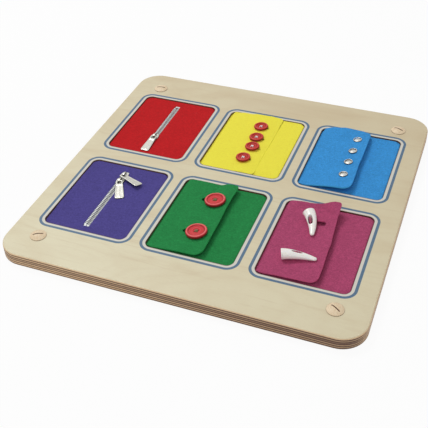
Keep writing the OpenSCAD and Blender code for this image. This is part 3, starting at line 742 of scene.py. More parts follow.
@dataclass(frozen=True)
class Gloss:
    """Moulded resin of a button: glossy, with faint flow marks and specks, a painted highlight on
    its rim's crest and painted shade in its groove and on its steep sides.
    """

    name: str
    colour: Colour
    # Colour of the grit specks and of the painted highlight on the rim.
    speck_and_highlight: Colour
    flow: Grain = Grain(3.0, 0.55, 2.5, scale=0.16)
    grit: Grain = Grain(3.0, 0.6, scale=2.2)
    flow_stain: Stain = Stain(0.38, 0.66, 1.0, 0.86)
    grit_stain: Stain = Stain(0.6, 0.75, 0.25)
    # Painted light: a highlight on the rim's crest and the well's edge, shade in the groove and on
    # the steep sides.
    painted_rim_highlight: Stain = Stain(0.5, 1.0, 0.75)
    painted_groove_shade: Stain = Stain(0.5, 0.05, 0.7, 0.55)
    painted_side_shade: Stain = Stain(0.9, 0.35, 1.0, 0.42)

    def material(self) -> Material:
        """Builds the material.

        Returns:
            The resin's material.
        """
        t = Surface(self.name)
        spot = t.place()
        flow, grit = t.cloud(spot, self.flow), t.cloud(spot, self.grit)
        # The rim mark is above 0.5 where a highlight is painted and below it where shade is
        # painted.
        crest = t.value("ShaderNodeAttribute", {"attribute_name": RIM_LIGHT_MARK}, {}, "Fac")
        shade = t.stain(self.colour, flow, self.flow_stain, self.colour)
        shade = t.stain(shade, grit, self.grit_stain, self.speck_and_highlight)
        shade = t.stain(shade, crest, self.painted_rim_highlight, self.speck_and_highlight)
        shade = t.stain(shade, crest, self.painted_groove_shade, self.colour)
        shade = t.stain(shade, t.upright(), self.painted_side_shade, self.colour)
        return t.finish(Base_Color=shade, Roughness=(0.4 + grit * 0.2).clip(),
                        Specular_IOR_Level=0.3, Coat_Weight=0.1, Coat_Roughness=0.2,
                        Normal=t.bump(grit * 0.5 + flow * 0.5, 0.05, 0.5))


@dataclass(frozen=True)
class Horn:
    """Polished imitation horn: ivory with soft streaks and specks."""

    name: str = "ivory_horn"
    colour: Colour = linear(252, 250, 245)
    streak: Colour = linear(236, 227, 213)
    streaks: Grain = Grain(4.0, 0.6, 3.0, scale=0.35)
    specks: Grain = Grain(2.0, 0.5, scale=3.0)
    streak_stain: Stain = Stain(0.45, 0.75, 0.7)
    speck_stain: Stain = Stain(0.66, 0.8, 0.25, 0.8)

    def material(self) -> Material:
        """Builds the material.

        Returns:
            The toggles' material.
        """
        t = Surface(self.name)
        spot = t.place()
        streaks = t.cloud(spot, self.streaks)
        shade = t.stain(self.colour, streaks, self.streak_stain, self.streak)
        shade = t.stain(shade, t.cloud(spot, self.specks), self.speck_stain, self.streak)
        return t.finish(Base_Color=shade, Roughness=(0.24 + streaks * 0.14).clip(),
                        Coat_Weight=0.2, Coat_Roughness=0.1, Subsurface_Weight=0.06,
                        Subsurface_Scale=0.002, Normal=t.bump(streaks, 0.06, 0.5))


@dataclass(frozen=True)
class Yarn:
    """Twisted cotton of a thread, a cord or a woven tape, with painted shade in the grooves
    between its plies.
    """

    name: str
    colour: Colour
    twist: float
    # Tone of the painted shade between the plies.
    deep: float = 0.68
    ply_fade: Point2 = (0.15, 0.8)
    fuzz: Grain = Grain(3.0, 0.7, scale=4.0)
    fuzz_stain: Stain = Stain(0.55, 0.75, 0.4, 1.2)

    def material(self) -> Material:
        """Builds the material.

        Returns:
            The yarn's material.
        """
        t = Surface(self.name)
        spot = t.place()
        ply = t.value("ShaderNodeTexWave", {"wave_type": "BANDS", "bands_direction": "DIAGONAL"},
                      {"Vector": spot, "Scale": self.twist, "Distortion": 1.5, "Detail": 2.0},
                      "Fac")
        fuzz = t.cloud(spot, self.fuzz)
        # Painted shade: darker in the grooves between the plies.
        shade = t.blend(ply.rise(*self.ply_fade), toned(self.colour, self.deep), self.colour)
        shade = t.stain(shade, fuzz, self.fuzz_stain, self.colour)
        return t.finish(Base_Color=shade, Roughness=(0.8 + fuzz * 0.15).clip(),
                        Sheen_Weight=0.2, Normal=t.bump(ply * 0.7 + fuzz * 0.5, 0.16, 0.7))


FELT_RED = Felt("red_felt", linear(196, 27, 32), 0.86, 0.08)
FELT_YELLOW = Felt("yellow_felt", linear(255, 241, 78), 0.95, 0.03)
FELT_BLUE = Felt("blue_felt", linear(62, 152, 222), 0.87, 0.1)
FELT_PURPLE = Felt("purple_felt", linear(80, 72, 142), 0.86, 0.1)
FELT_GREEN = Felt("green_felt", linear(36, 134, 70), 0.84, 0.1)
FELT_MAGENTA = Felt("magenta_felt", linear(176, 74, 112), 0.82, 0.1)
ZIP_METAL = Metal("zip_chain", Polish.CHAIN, ZIP_X)
THREAD_WHITE = Yarn("white_thread", linear(255, 253, 250), 4.5, 0.9)
THREAD_OLIVE = Yarn("olive_thread", linear(140, 120, 80), 4.5)
CORD_PINK = Yarn("toggle_cord", linear(188, 92, 120), 2.6, 0.8)


@cache
def material_of(finish: Any) -> Material:
    """The material of a finish, made the first time it is asked for."""
    return finish.material()


def dress(piece: Piece, finish: Any) -> Piece:
    """Gives a piece one finish, and gives the piece back."""
    piece.data.materials.clear()
    piece.data.materials.append(material_of(finish))
    return piece


def fit(piece: Piece, finish: Any, body: str, slot: str, *nodes: str) -> None:
    """Dresses a piece, rides it on its body and hides the nodes it replaces.

    Args:
        piece: The piece.
        finish: The finish for its whole surface.
        body: The body that it moves with.
        slot: Not used.
        nodes: The nodes that it replaces, if any.
    """
    dress(piece, finish)
    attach(piece, body)
    if nodes:
        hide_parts(*nodes)


# --- Mesh making --------------------------------------------------------------------------------


def steps(low: float, high: float, size: float) -> list[float]:
    """Even steps from low to high, both among them, none larger than the size."""
    count = max(1, math.ceil((high - low) / size))
    return [low + (high - low) * i / count for i in range(count + 1)]


def ease(value: float, low: float, high: float) -> float:
    """Goes smoothly from 0 at low to 1 at high."""
    share = min(1.0, max(0.0, (value - low) / (high - low)))
    return share * share * (3 - 2 * share)


def follow(table: Sequence[Point2], at: float) -> float:
    """Reads a table, straight between its points and flat past its ends.

    Args:
        table: Place and value of each point, in rising order of place.
        at: Where it is read.

    Returns:
        The value.
    """
    if at <= table[0][0]:
        return table[0][1]
    for (a, va), (b, vb) in zip(table, table[1:]):
        if at <= b:
            return va + (vb - va) * (at - a) / (b - a)
    return table[-1][1]


def round_box(x: float, y: float, half_x: float, half_y: float, radius: float) -> float:
    """Distance from a rectangle with round corners, less than 0 inside it."""
    dx, dy = abs(x) - half_x + radius, abs(y) - half_y + radius
    return math.hypot(max(dx, 0.0), max(dy, 0.0)) + min(max(dx, dy), 0.0) - radius


def make_object(name: str, mesh: Mesh, smooth: float = 40.0,
                matrix: Matrix = Matrix.Identity(4)) -> Piece:
    """Turns a mesh in millimetres into an object in the board's frame.

    Args:
        name: The piece's name.
        mesh: The mesh, which is freed.
        smooth: Edges sharper than this stay crisp, in degrees.
        matrix: Where the mesh goes, in millimetres.

    Returns:
        The object, linked to the scene.
    """
    bmesh.ops.transform(mesh, matrix=Matrix.Scale(MM, 4) @ matrix, verts=mesh.verts)
    bmesh.ops.recalc_face_normals(mesh, faces=mesh.faces)
    data = bpy.data.meshes.new(name)
    mesh.to_mesh(data)
    mesh.free()
    data.shade_smooth()
    made = bpy.data.objects.new(name, data)
    bpy.context.scene.collection.objects.link(made)
    data.set_sharp_from_angle(angle=math.radians(smooth))
    return made


def plate(name: str, xs: Sequence[float], ys: Sequence[float], outline: Distance, top: Height,
          under: Height, bulge: float, matrix: Matrix = Matrix.Identity(4),
          smooth: float = 50.0, drawn: Height | None = None) -> Piece:
    """Builds a closed sheet whose cut edges follow an outline.

    Args:
        name: The piece's name.
        xs: Grid lines across X.
        ys: Grid lines across Y.
        outline: Distance from the cut, less than 0 in the material.
        top: Height of the upper face.
        under: Height of the lower face.
        bulge: How far the cut edge stands out halfway down.
        matrix: Where the sheet goes, in millimetres.
        smooth: Edges sharper than this stay crisp, in degrees.
        drawn: How far each point is drawn towards -X by the sheet's curl.

    Returns:
        The object.
    """
    def corners(i: int, j: int) -> list[Cell]:
        """The corners of a cell, anticlockwise."""
        return [(i, j), (i + 1, j), (i + 1, j + 1), (i, j + 1)]

    kept = [(i, j) for i in range(len(xs) - 1) for j in range(len(ys) - 1)
            if outline((xs[i] + xs[i + 1]) / 2, (ys[j] + ys[j + 1]) / 2) < 0]
    cells = set(kept)
    rims: list[tuple[Cell, Cell]] = []
    for i, j in kept:
        ring = corners(i, j)
        for k, (di, dj) in enumerate(((0, -1), (1, 0), (0, 1), (-1, 0))):
            if (i + di, j + dj) not in cells:
                rims.append((ring[k], ring[(k + 1) % 4]))
    on_rim = {corner for pair in rims for corner in pair}
    nudge, rounds = 0.02, 3
    mesh = bmesh.new()
    upper: dict[Cell, Vert] = {}
    lower: dict[Cell, Vert] = {}
    middle: dict[Cell, Vert] = {}
    for i, j in {(i + a, j + b) for i, j in kept for a in (0, 1) for b in (0, 1)}:
        x, y = xs[i], ys[j]
        slope = (0.0, 0.0)
        if (i, j) in on_rim:
            for _ in range(rounds):
                away = outline(x, y)
                slope = ((outline(x + nudge, y) - outline(x - nudge, y)) / (2 * nudge),
                         (outline(x, y + nudge) - outline(x, y - nudge)) / (2 * nudge))
                size = max(math.hypot(*slope), 1e-6)
                slope = (slope[0] / size, slope[1] / size)
                x, y = x - slope[0] * away, y - slope[1] * away
        high, low = top(x, y), under(x, y)
        x -= drawn(x, y) if drawn else 0.0
        upper[i, j] = mesh.verts.new((x, y, high))
        lower[i, j] = mesh.verts.new((x, y, low))
        if (i, j) in on_rim:
            middle[i, j] = mesh.verts.new((x + slope[0] * bulge, y + slope[1] * bulge,
                                           (high + low) / 2))
    for i, j in kept:
        mesh.faces.new([upper[c] for c in corners(i, j)])
        mesh.faces.new([lower[c] for c in reversed(corners(i, j))])
    for a, b in rims:
        mesh.faces.new([upper[b], upper[a], middle[a], middle[b]])
        mesh.faces.new([middle[b], middle[a], lower[a], lower[b]])
    return make_object(name, mesh, smooth, matrix)


def circle(sides: int) -> list[Point2]:
    """The points of a circle of radius 1."""
    return [(math.cos(2 * math.pi * k / sides), math.sin(2 * math.pi * k / sides))
            for k in range(sides)]


def skin(mesh: Mesh, rings: Sequence[Ring], capped: bool = True) -> None:
    """Joins rings of points with faces, each ring to the next.

    Args:
        mesh: The mesh that holds the points.
        rings: The rings; a ring of one point is a tip.
        capped: Whether the first and the last ring are closed with a face.
    """
    for low, high in zip(rings, rings[1:]):
        count = max(len(low), len(high))
        for k in range(count):
            after = (k + 1) % count
            if len(low) == 1:
                mesh.faces.new([low[0], high[after], high[k]])
            elif len(high) == 1:
                mesh.faces.new([low[k], low[after], high[0]])
            else:
                mesh.faces.new([low[k], low[after], high[after], high[k]])
    if capped:
        mesh.faces.new(list(reversed(rings[0])))
        mesh.faces.new(rings[-1])


def add_lathe(mesh: Mesh, profile: Sequence[Point2], matrix: Matrix, sides: int) -> None:
    """Turns a profile round Z and adds it to a mesh.

    Args:
        mesh: The mesh that grows.
        profile: Radius and height of each step; a radius of 0 closes the end.
        matrix: Where the turned shape goes.
        sides: Steps round the turn.
    """
    skin(mesh, [[mesh.verts.new(matrix @ Vector((radius * a, radius * b, height)))
                 for a, b in (circle(sides) if radius > 0 else [(0.0, 0.0)])]
                for radius, height in profile], capped=False)


def add_tube(mesh: Mesh, path: Sequence[Vector], radius: float,
             up: Vector = Vector((0, 0, 1))) -> None:
    """Sweeps a round section along a path and closes both ends.

    Args:
        mesh: The mesh that grows.
        path: The centreline.
        radius: The section's radius.
        up: The direction that the section's second axis leans to.
    """
    rings: list[Ring] = []
    for n, point in enumerate(path):
        ahead = path[min(n + 1, len(path) - 1)] - path[max(n - 1, 0)]
        across = ahead.cross(up).normalized()
        lift = across.cross(ahead).normalized()
        rings.append([mesh.verts.new(point + across * (a * radius) + lift * (b * radius))
                      for a, b in circle(TUBE_SIDES)])
    skin(mesh, rings)


def add_prism(mesh: Mesh, outline: Sequence[Point2], low: float, high: float,
              matrix: Matrix, chamfer: float = 0.0) -> None:
    """Adds an upright prism with chamfered rims.

    Args:
        mesh: The mesh that grows.
        outline: The outline's points, anticlockwise and convex.
        low: Height of the lower face.
        high: Height of the upper face.
        matrix: Where the prism goes.
        chamfer: Size of the chamfer on both rims.
    """
    centre = Vector((sum(p[0] for p in outline), sum(p[1] for p in outline))) / len(outline)
    rings: list[Ring] = []
    for height, inset in ((low, chamfer), (low + chamfer, 0.0), (high - chamfer, 0.0),
                          (high, chamfer)):
        ring = []
        for point in map(Vector, outline):
            flat = point - (point - centre).normalized() * inset
            ring.append(mesh.verts.new(matrix @ Vector((*flat, height))))
        rings.append(ring)
    skin(mesh, rings)


def cut_hole(piece: Piece, cutter: Piece) -> None:
    """Cuts one object out of another and removes the cutter.

    Args:
        piece: The object that keeps its place.
        cutter: The object that is cut away.
    """
    step = piece.modifiers.new("cut", "BOOLEAN")
    step.operation, step.solver, step.object = "DIFFERENCE", "EXACT", cutter
    bpy.context.view_layer.update()
    result = bpy.data.meshes.new_from_object(
        piece.evaluated_get(bpy.context.evaluated_depsgraph_get()))
    piece.modifiers.clear()
    piece.data = result
    bpy.data.objects.remove(cutter)


# --- Windows and their felt ---------------------------------------------------------------------


@dataclass
class Window:
    """A window of the front panel with the felt behind it."""

    name: str
    centre: Point2
    felt: Felt
    half: Point2 = WINDOW_HALF
    corner: float = WINDOW_CORNER
    margin: float = 6.9
    felt_top: float = 12.5
    felt_thick: float = 2.0
    cell: float = 1.6
    seed: float = 0.0
    swell: float = 1.25
    swell_from: Point2 = (0.0, 17.0)
    swell_reach: Point2 = (4.0, 16.0)
    swell_front: Point2 = (-63.0, -50.0)
    waves: tuple[Point2, ...] = ((24.0, 0.16), (5.0, 0.05))
    sunk: float = 0.05
    lip: Point2 = (-0.1, 0.9)
    edge_bulge: float = 0.1
    fine: tuple[float, ...] = (-0.4, 0.0, 0.35, 0.7, 1.1)
    fine_gap: float = 0.25

    def local(self, x: float, y: float) -> Point2:
        """A point's place from the window's centre."""
        return x - self.centre[0], y - self.centre[1]

    def ripple(self, x: float, y: float, size: float, depth: float) -> float:
        """A gentle unevenness of the felt, from a swell's size and depth."""
        return noise.noise(Vector((x / size, y / size, self.seed))) * depth

    def felt_height(self, x: float, y: float) -> float:
        """Height of the felt's upper face: held down under the panel and free in the window.

        Args:
            x: Place across the board.
            y: Place along it.

        Returns:
            The height.
        """
        lx, ly = self.local(x, y)
        inside = -round_box(lx, ly, *self.half, self.corner)
        held = SEAM_Z - self.sunk
        free = self.felt_top
        for size, depth in self.waves:
            free += self.ripple(x, y, size, depth)
        free += (self.swell * (1 - ease(inside, *self.swell_reach)) * ease(lx, *self.swell_from)
                 * ease(ly, *self.swell_front))
        return held + (free - held) * ease(inside, *self.lip)

    def felt_cut(self, x: float, y: float) -> float:
        """Distance from the felt's cut edge."""
        return round_box(*self.local(x, y), self.half[0] + self.margin,
                         self.half[1] + self.margin, self.corner + self.margin)

    def grid(self) -> tuple[list[float], list[float]]:
        """Works out the felt's grid, closer at the window's edge.

        Returns:
            The lines across and the lines along.
        """
        lines = []
        for middle, half in zip(self.centre, self.half):
            near = [side * (half - inside) for side in (-1, 1) for inside in self.fine]
            even = [at for at in steps(-half - self.margin, half + self.margin, self.cell)
                    if min(abs(at - line) for line in near) > self.fine_gap]
            lines.append([middle + at for at in sorted(near + even)])
        return lines[0], lines[1]

    def build_felt(self) -> None:
        """Builds the felt behind the window."""
        name = f"{self.name}_felt"
        sheet = plate(f"{name}_sheet", *self.grid(), self.felt_cut, self.felt_height,
                      lambda x, y: self.felt_height(x, y) - self.felt_thick, self.edge_bulge)
        fit(sheet, self.felt, "board", name, name)
        (2 * (self.half[0] + self.margin)) * MM
        (2 * (self.half[1] + self.margin)) * MM
        LOG.info("%s felt: %d faces", self.name, len(sheet.data.polygons))


class Slot(NamedTuple):
    """A slot in a flap: where it starts, its middle along the flap, its length and width."""

    start: float
    middle: float
    length: float
    width: float


@dataclass
class Flap:
    """A felt flap held at the left of its window, lying on its fasteners.

    The two lift tables give how far the back and the front edge stand above the even arc, by
    distance from the hinge line. The settle table lowers both alike, and the edge table gives how
    far the free edge is drawn back, by distance from the window's centre. Lifts fade within the
    calm distances of each pucker.
    """

    window: Window
    length: float
    rise: float
    back_lift: Sequence[Point2]
    front_lift: Sequence[Point2]
    slots: Sequence[Slot] = ()
    thick: float = 1.7
    thin: float = 1.1
    pressed: Point2 = (0.0, 5.0)
    arc_thick: float = 2.0
    depth: float = 122.0
    foot_z: float = 12.8
    hinge_gap: float = 0.3
    front_radius: float = 8.0
    back_radius: float = 3.0
    grip: float = 6.5
    spread: float = 2.6
    cell: float = 1.0
    puckers: Sequence[Point2] = ()
    settle: Sequence[Point2] = ((0.0, 0.0),)
    calm: Point2 = (0.0, 0.1)
    edge: Sequence[Point2] = ((0.0, 0.0),)
    holes: Sequence[Point2] = ()
    hole: float = 3.3
    waves: Sequence[Point3] = ((0.0, 19.0, 0.3), (90.0, 6.0, 0.08))
    pucker: Point2 = (0.35, 6.0)
    clear: float = 0.15
    floor_give: float = 0.12
    sunk: float = 0.06
    neck: Point2 = (-0.1, 4.2)
    free_from: float = 3.0
    drawn_from: float = 0.55
    overlap: float = 30.0
    slot_round: float = 0.45
    grip_reach: float = 2.0
    grip_corner: float = 1.0
    grip_inset: float = 6.0
    edge_bulge: float = 0.14
    bend_length: float = 7.0

    @property
    def hinge_x(self) -> float:
        """Place of the hinge line across the board."""
        return self.window.centre[0] - self.window.half[0] + self.hinge_gap

    @property
    def arc(self) -> float:
        """Radius of the lower face's arc."""
        return (self.length ** 2 + self.rise ** 2) / (2 * self.rise)

    def arc_top(self, away: float) -> float:
        """Height of the even arc's upper face at a distance from the hinge line."""
        inner = self.arc - self.arc_thick
        return self.foot_z + self.arc - math.sqrt(inner ** 2 - away ** 2)

    def frame_at(self, away: float, along: float) -> Matrix:
        """A frame on the arc's upper face, with Z along its normal.

        Args:
            away: Distance from the hinge line.
            along: Distance from the window's centre towards the back.

        Returns:
            The frame, in millimetres.
        """
        tilt = math.asin(away / (self.arc - self.arc_thick))
        place = (self.hinge_x + away, self.window.centre[1] + along, self.arc_top(away))
        return Matrix.Translation(place) @ Matrix.Rotation(-tilt, 4, "Y")

    def height(self, x: float, y: float) -> float:
        """Height of the upper face, with the lifted edges and the clamped strip.

        Args:
            x: Place across the board.
            y: Place along it.

        Returns:
            The height.
        """
        away, along = x - self.hinge_x, y - self.window.centre[1]
        bend = max(0.0, min(away, self.length))
        share = along / (self.depth / 2)
        table = self.back_lift if share > 0 else self.front_lift
        lift = follow(table, bend) * abs(share) ** self.spread
        for px, py in self.puckers:
            lift *= ease(math.hypot(away - px, along - py), *self.calm)
        top = self.arc_top(bend) + lift + follow(self.settle, bend)
        for shift, size, depth in self.waves:
            top += self.window.ripple(x + shift, y, size, depth)
        deep, reach = self.pucker
        for px, py in self.puckers:
            far = math.hypot(away - px, along - py)
            top -= deep * math.exp(-(far / reach) ** 2)
        floor = self.window.felt_top + self.thick + self.clear
        top = max(top, floor + self.floor_give * math.tanh(top - floor))
        held = SEAM_Z - self.sunk
        return held + (top - held) * ease(away, *self.neck)

    def cut(self, x: float, y: float) -> float:
        """Distance from the flap's cut edges and its slots.

        Args:
            x: Place across the board.
            y: Place along it.

        Returns:
            The distance.
        """
        away, along = x - self.hinge_x, y - self.window.centre[1]
        radius = self.back_radius if along > 0 else self.front_radius
        middle, half, over = self.length / 2, self.depth / 2, self.overlap
        free = round_box(away - middle + over, along, middle + over, half, radius)
        held = round_box(away - middle - over, along, middle + over, half,
                         self.window.corner - self.hinge_gap)
        body = max(free, held)
        if away < self.free_from:
            grip = round_box(away + self.grip / 2, along, self.grip / 2 + self.grip_reach,
                             half - self.grip_inset, self.grip_corner)
            body = min(body, grip)
        for slot in self.slots:
            gap = round_box(away - slot.start - slot.length / 2, along - slot.middle,
                            slot.length / 2, slot.width / 2, slot.width * self.slot_round)
            body = max(body, -gap)
        for hole_x, hole_y in self.holes:
            body = max(body, self.hole - math.hypot(away - hole_x, along - hole_y))
        return body

    def drawn(self, x: float, y: float) -> float:
        """How far the free edge is drawn back towards the hinge."""
        away, along = x - self.hinge_x, y - self.window.centre[1]
        return (follow(self.edge, along)
                * ease(away, self.length * self.drawn_from, self.length))

    def build(self) -> None:
        """Builds the flap."""
        name, (_, cy) = self.window.name, self.window.centre
        xs = steps(self.hinge_x - self.grip - self.grip_reach, self.hinge_x + self.length,
                   self.cell)
        ys = steps(cy - self.depth / 2, cy + self.depth / 2, self.cell)

        def under(x: float, y: float) -> float:
            """Height of the lower face: the clamped strip is pressed thin."""
            grown = ease(x - self.hinge_x, *self.pressed)
            return self.height(x, y) - self.thin - (self.thick - self.thin) * grown

        sheet = plate(f"{name}_flap_sheet", xs, ys, self.cut, self.height, under,
                      self.edge_bulge, drawn=self.drawn)
        dress(sheet, self.window.felt)
        start = (self.hinge_x * MM, cy * MM, FACE_Z * MM)
        (self.hinge_x + self.bend_length) * MM
        cy * MM
        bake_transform(sheet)
        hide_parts(f"{name}_flap", f"{name}_flap_edge")
        (self.length + self.grip) * MM
        self.depth * MM
        LOG.info("%s flap: %d faces", name, len(sheet.data.polygons))


# --- Fasteners ----------------------------------------------------------------------------------


@dataclass
class Button:
    """A four-hole button on its thread.

    Each triple gives a height or place, then where its slope starts and ends.
    """

    node: str
    stitch_node: str
    body: str
    frame: Matrix
    lift: float
    diameter: float
    thick: float
    finish: Gloss
    thread: Yarn
    slots: tuple[str, str]
    strand: float
    apart: float
    rim: float = 2.6
    dish: float = 1.1
    well: Point2 = (3.84, 0.45)
    hole: float = 0.9
    pitch: float = 3.2
    cell: float = 0.42
    room: float = 0.2
    edge_drop: Point3 = (0.85, -1.5, 0.35)
    dish_slope: float = 0.45
    crown: Point3 = (0.35, -0.3, 0.6)
    well_slope: float = 0.4
    back_rise: Point3 = (1.15, -3.0, 0.6)
    edge_bulge: float = 0.28
    # Where the rim mark puts the painted highlight and shade, and how strongly.
    crest_in: float = 1.4
    crest_ring: Point2 = (0.3, 1.2)
    well_ring: Point3 = (0.5, 0.2, 0.9)
    groove_ring: Point3 = (0.35, 0.3, 1.0)
    marks: Point3 = (0.5, 0.2, -0.5)
    stitch_step: float = 0.12
    stitch_rise: float = 0.42
    stitch_over: float = 0.5
    stitch_bow: float = 0.05
    dive_from: float = 0.8
    dive: float = 7.8

    def top(self, x: float, y: float) -> float:
        """Height of the button's face: a round rim, a dish inside it and a well in the middle.

        Args:
            x: Place across the button.
            y: Place along it.

        Returns:
            The height.
        """
        far = math.hypot(x, y)
        edge, well = self.diameter / 2, self.well[0]
        drop, start, end = self.edge_drop
        high = self.thick - drop * ease(far, edge + start, edge + end) ** 2
        inner = edge - self.rim
        high -= self.dish * ease(far, inner + self.dish_slope, inner - self.dish_slope)
        crown, start, end = self.crown
        high += crown * ease(far, inner + start, well + end)
        return high - (self.well[1] + crown) * ease(far, well + self.well_slope,
                                                    well - self.well_slope)

    def under(self, x: float, y: float) -> float:
        """Height of the button's back: flat in the middle and rising to its edge."""
        high, start, end = self.back_rise
        edge = self.diameter / 2
        return high * ease(math.hypot(x, y), edge + start, edge + end)

    def cut(self, x: float, y: float) -> float:
        """Distance from the rim and the four holes.

        Args:
            x: Place across the button.
            y: Place along it.

        Returns:
            The distance.
        """
        body = math.hypot(x, y) - self.diameter / 2
        for side in (-1, 1):
            for end in (-1, 1):
                away = math.hypot(x - side * self.pitch / 2, y - end * self.pitch / 2)
                body = max(body, self.hole - away)
        return body

    def mark_rim_light(self, disc: Piece, seat: Matrix) -> None:
        """Marks how near each point lies to the rim's crest, the well's edge and the groove, for
        the painted highlight and shade of the resin.

        Args:
            disc: The button's disc.
            seat: The button's frame, in millimetres.
        """
        local = (Matrix.Scale(MM, 4) @ seat).inverted()
        crest = self.diameter / 2 - self.crest_in
        past_well, *well_fade = self.well_ring
        past_rim, *groove_fade = self.groove_ring
        marks = disc.data.attributes.new(RIM_LIGHT_MARK, "FLOAT", "POINT")
        for vertex, mark in zip(disc.data.vertices, marks.data):
            far = (local @ vertex.co).xy.length
            ring = 1 - ease(abs(far - crest), *self.crest_ring)
            inner = 1 - ease(abs(far - self.well[0] - past_well), *well_fade)
            groove = 1 - ease(abs(far - (crest - self.rim / 2 - past_rim)), *groove_fade)
            mark.value = 0.5 + sum(share * near for share, near in
                                   zip(self.marks, (ring, inner, groove)))

    def build(self) -> None:
        """Builds the button and its crossed stitch."""
        half = self.diameter / 2 + self.room
        lines = steps(-half, half, self.cell)
        seat = self.frame @ Matrix.Translation((0, 0, self.lift))
        disc = plate(f"{self.node}_disc", lines, lines, self.cut, self.top, self.under,
                     self.edge_bulge, seat, 60.0)
        self.mark_rim_light(disc, seat)
        fit(disc, self.finish, self.body, self.slots[0], self.node)
        self.build_stitch(seat)
        LOG.info("button %s", self.node)

    def build_stitch(self, seat: Matrix) -> None:
        """Builds the crossed stitch, two strands each way, that dives into the four holes.

        Args:
            seat: The button's frame, in millimetres.
        """
        mesh = bmesh.new()
        floor = self.thick - self.dish - self.well[1] + self.stitch_rise
        for turn, high in ((45, 0.0), (135, self.stitch_over)):
            for shift in (-self.apart, self.apart):
                path = []
                for share in steps(-1.0, 1.0, self.stitch_step):
                    drop = self.dive * max(0.0, abs(share) - self.dive_from) ** 1.2
                    point = Vector((share * self.pitch / math.sqrt(2),
                                    shift + self.stitch_bow * math.sin(share * 4),
                                    floor + high * (1 - abs(share)) - drop))
                    path.append(seat @ (Matrix.Rotation(math.radians(turn), 4, "Z") @ point))
                add_tube(mesh, path, self.strand)
        fit(make_object(f"{self.stitch_node}_thread", mesh, 80.0), self.thread, self.body,
            self.slots[1], self.stitch_node)


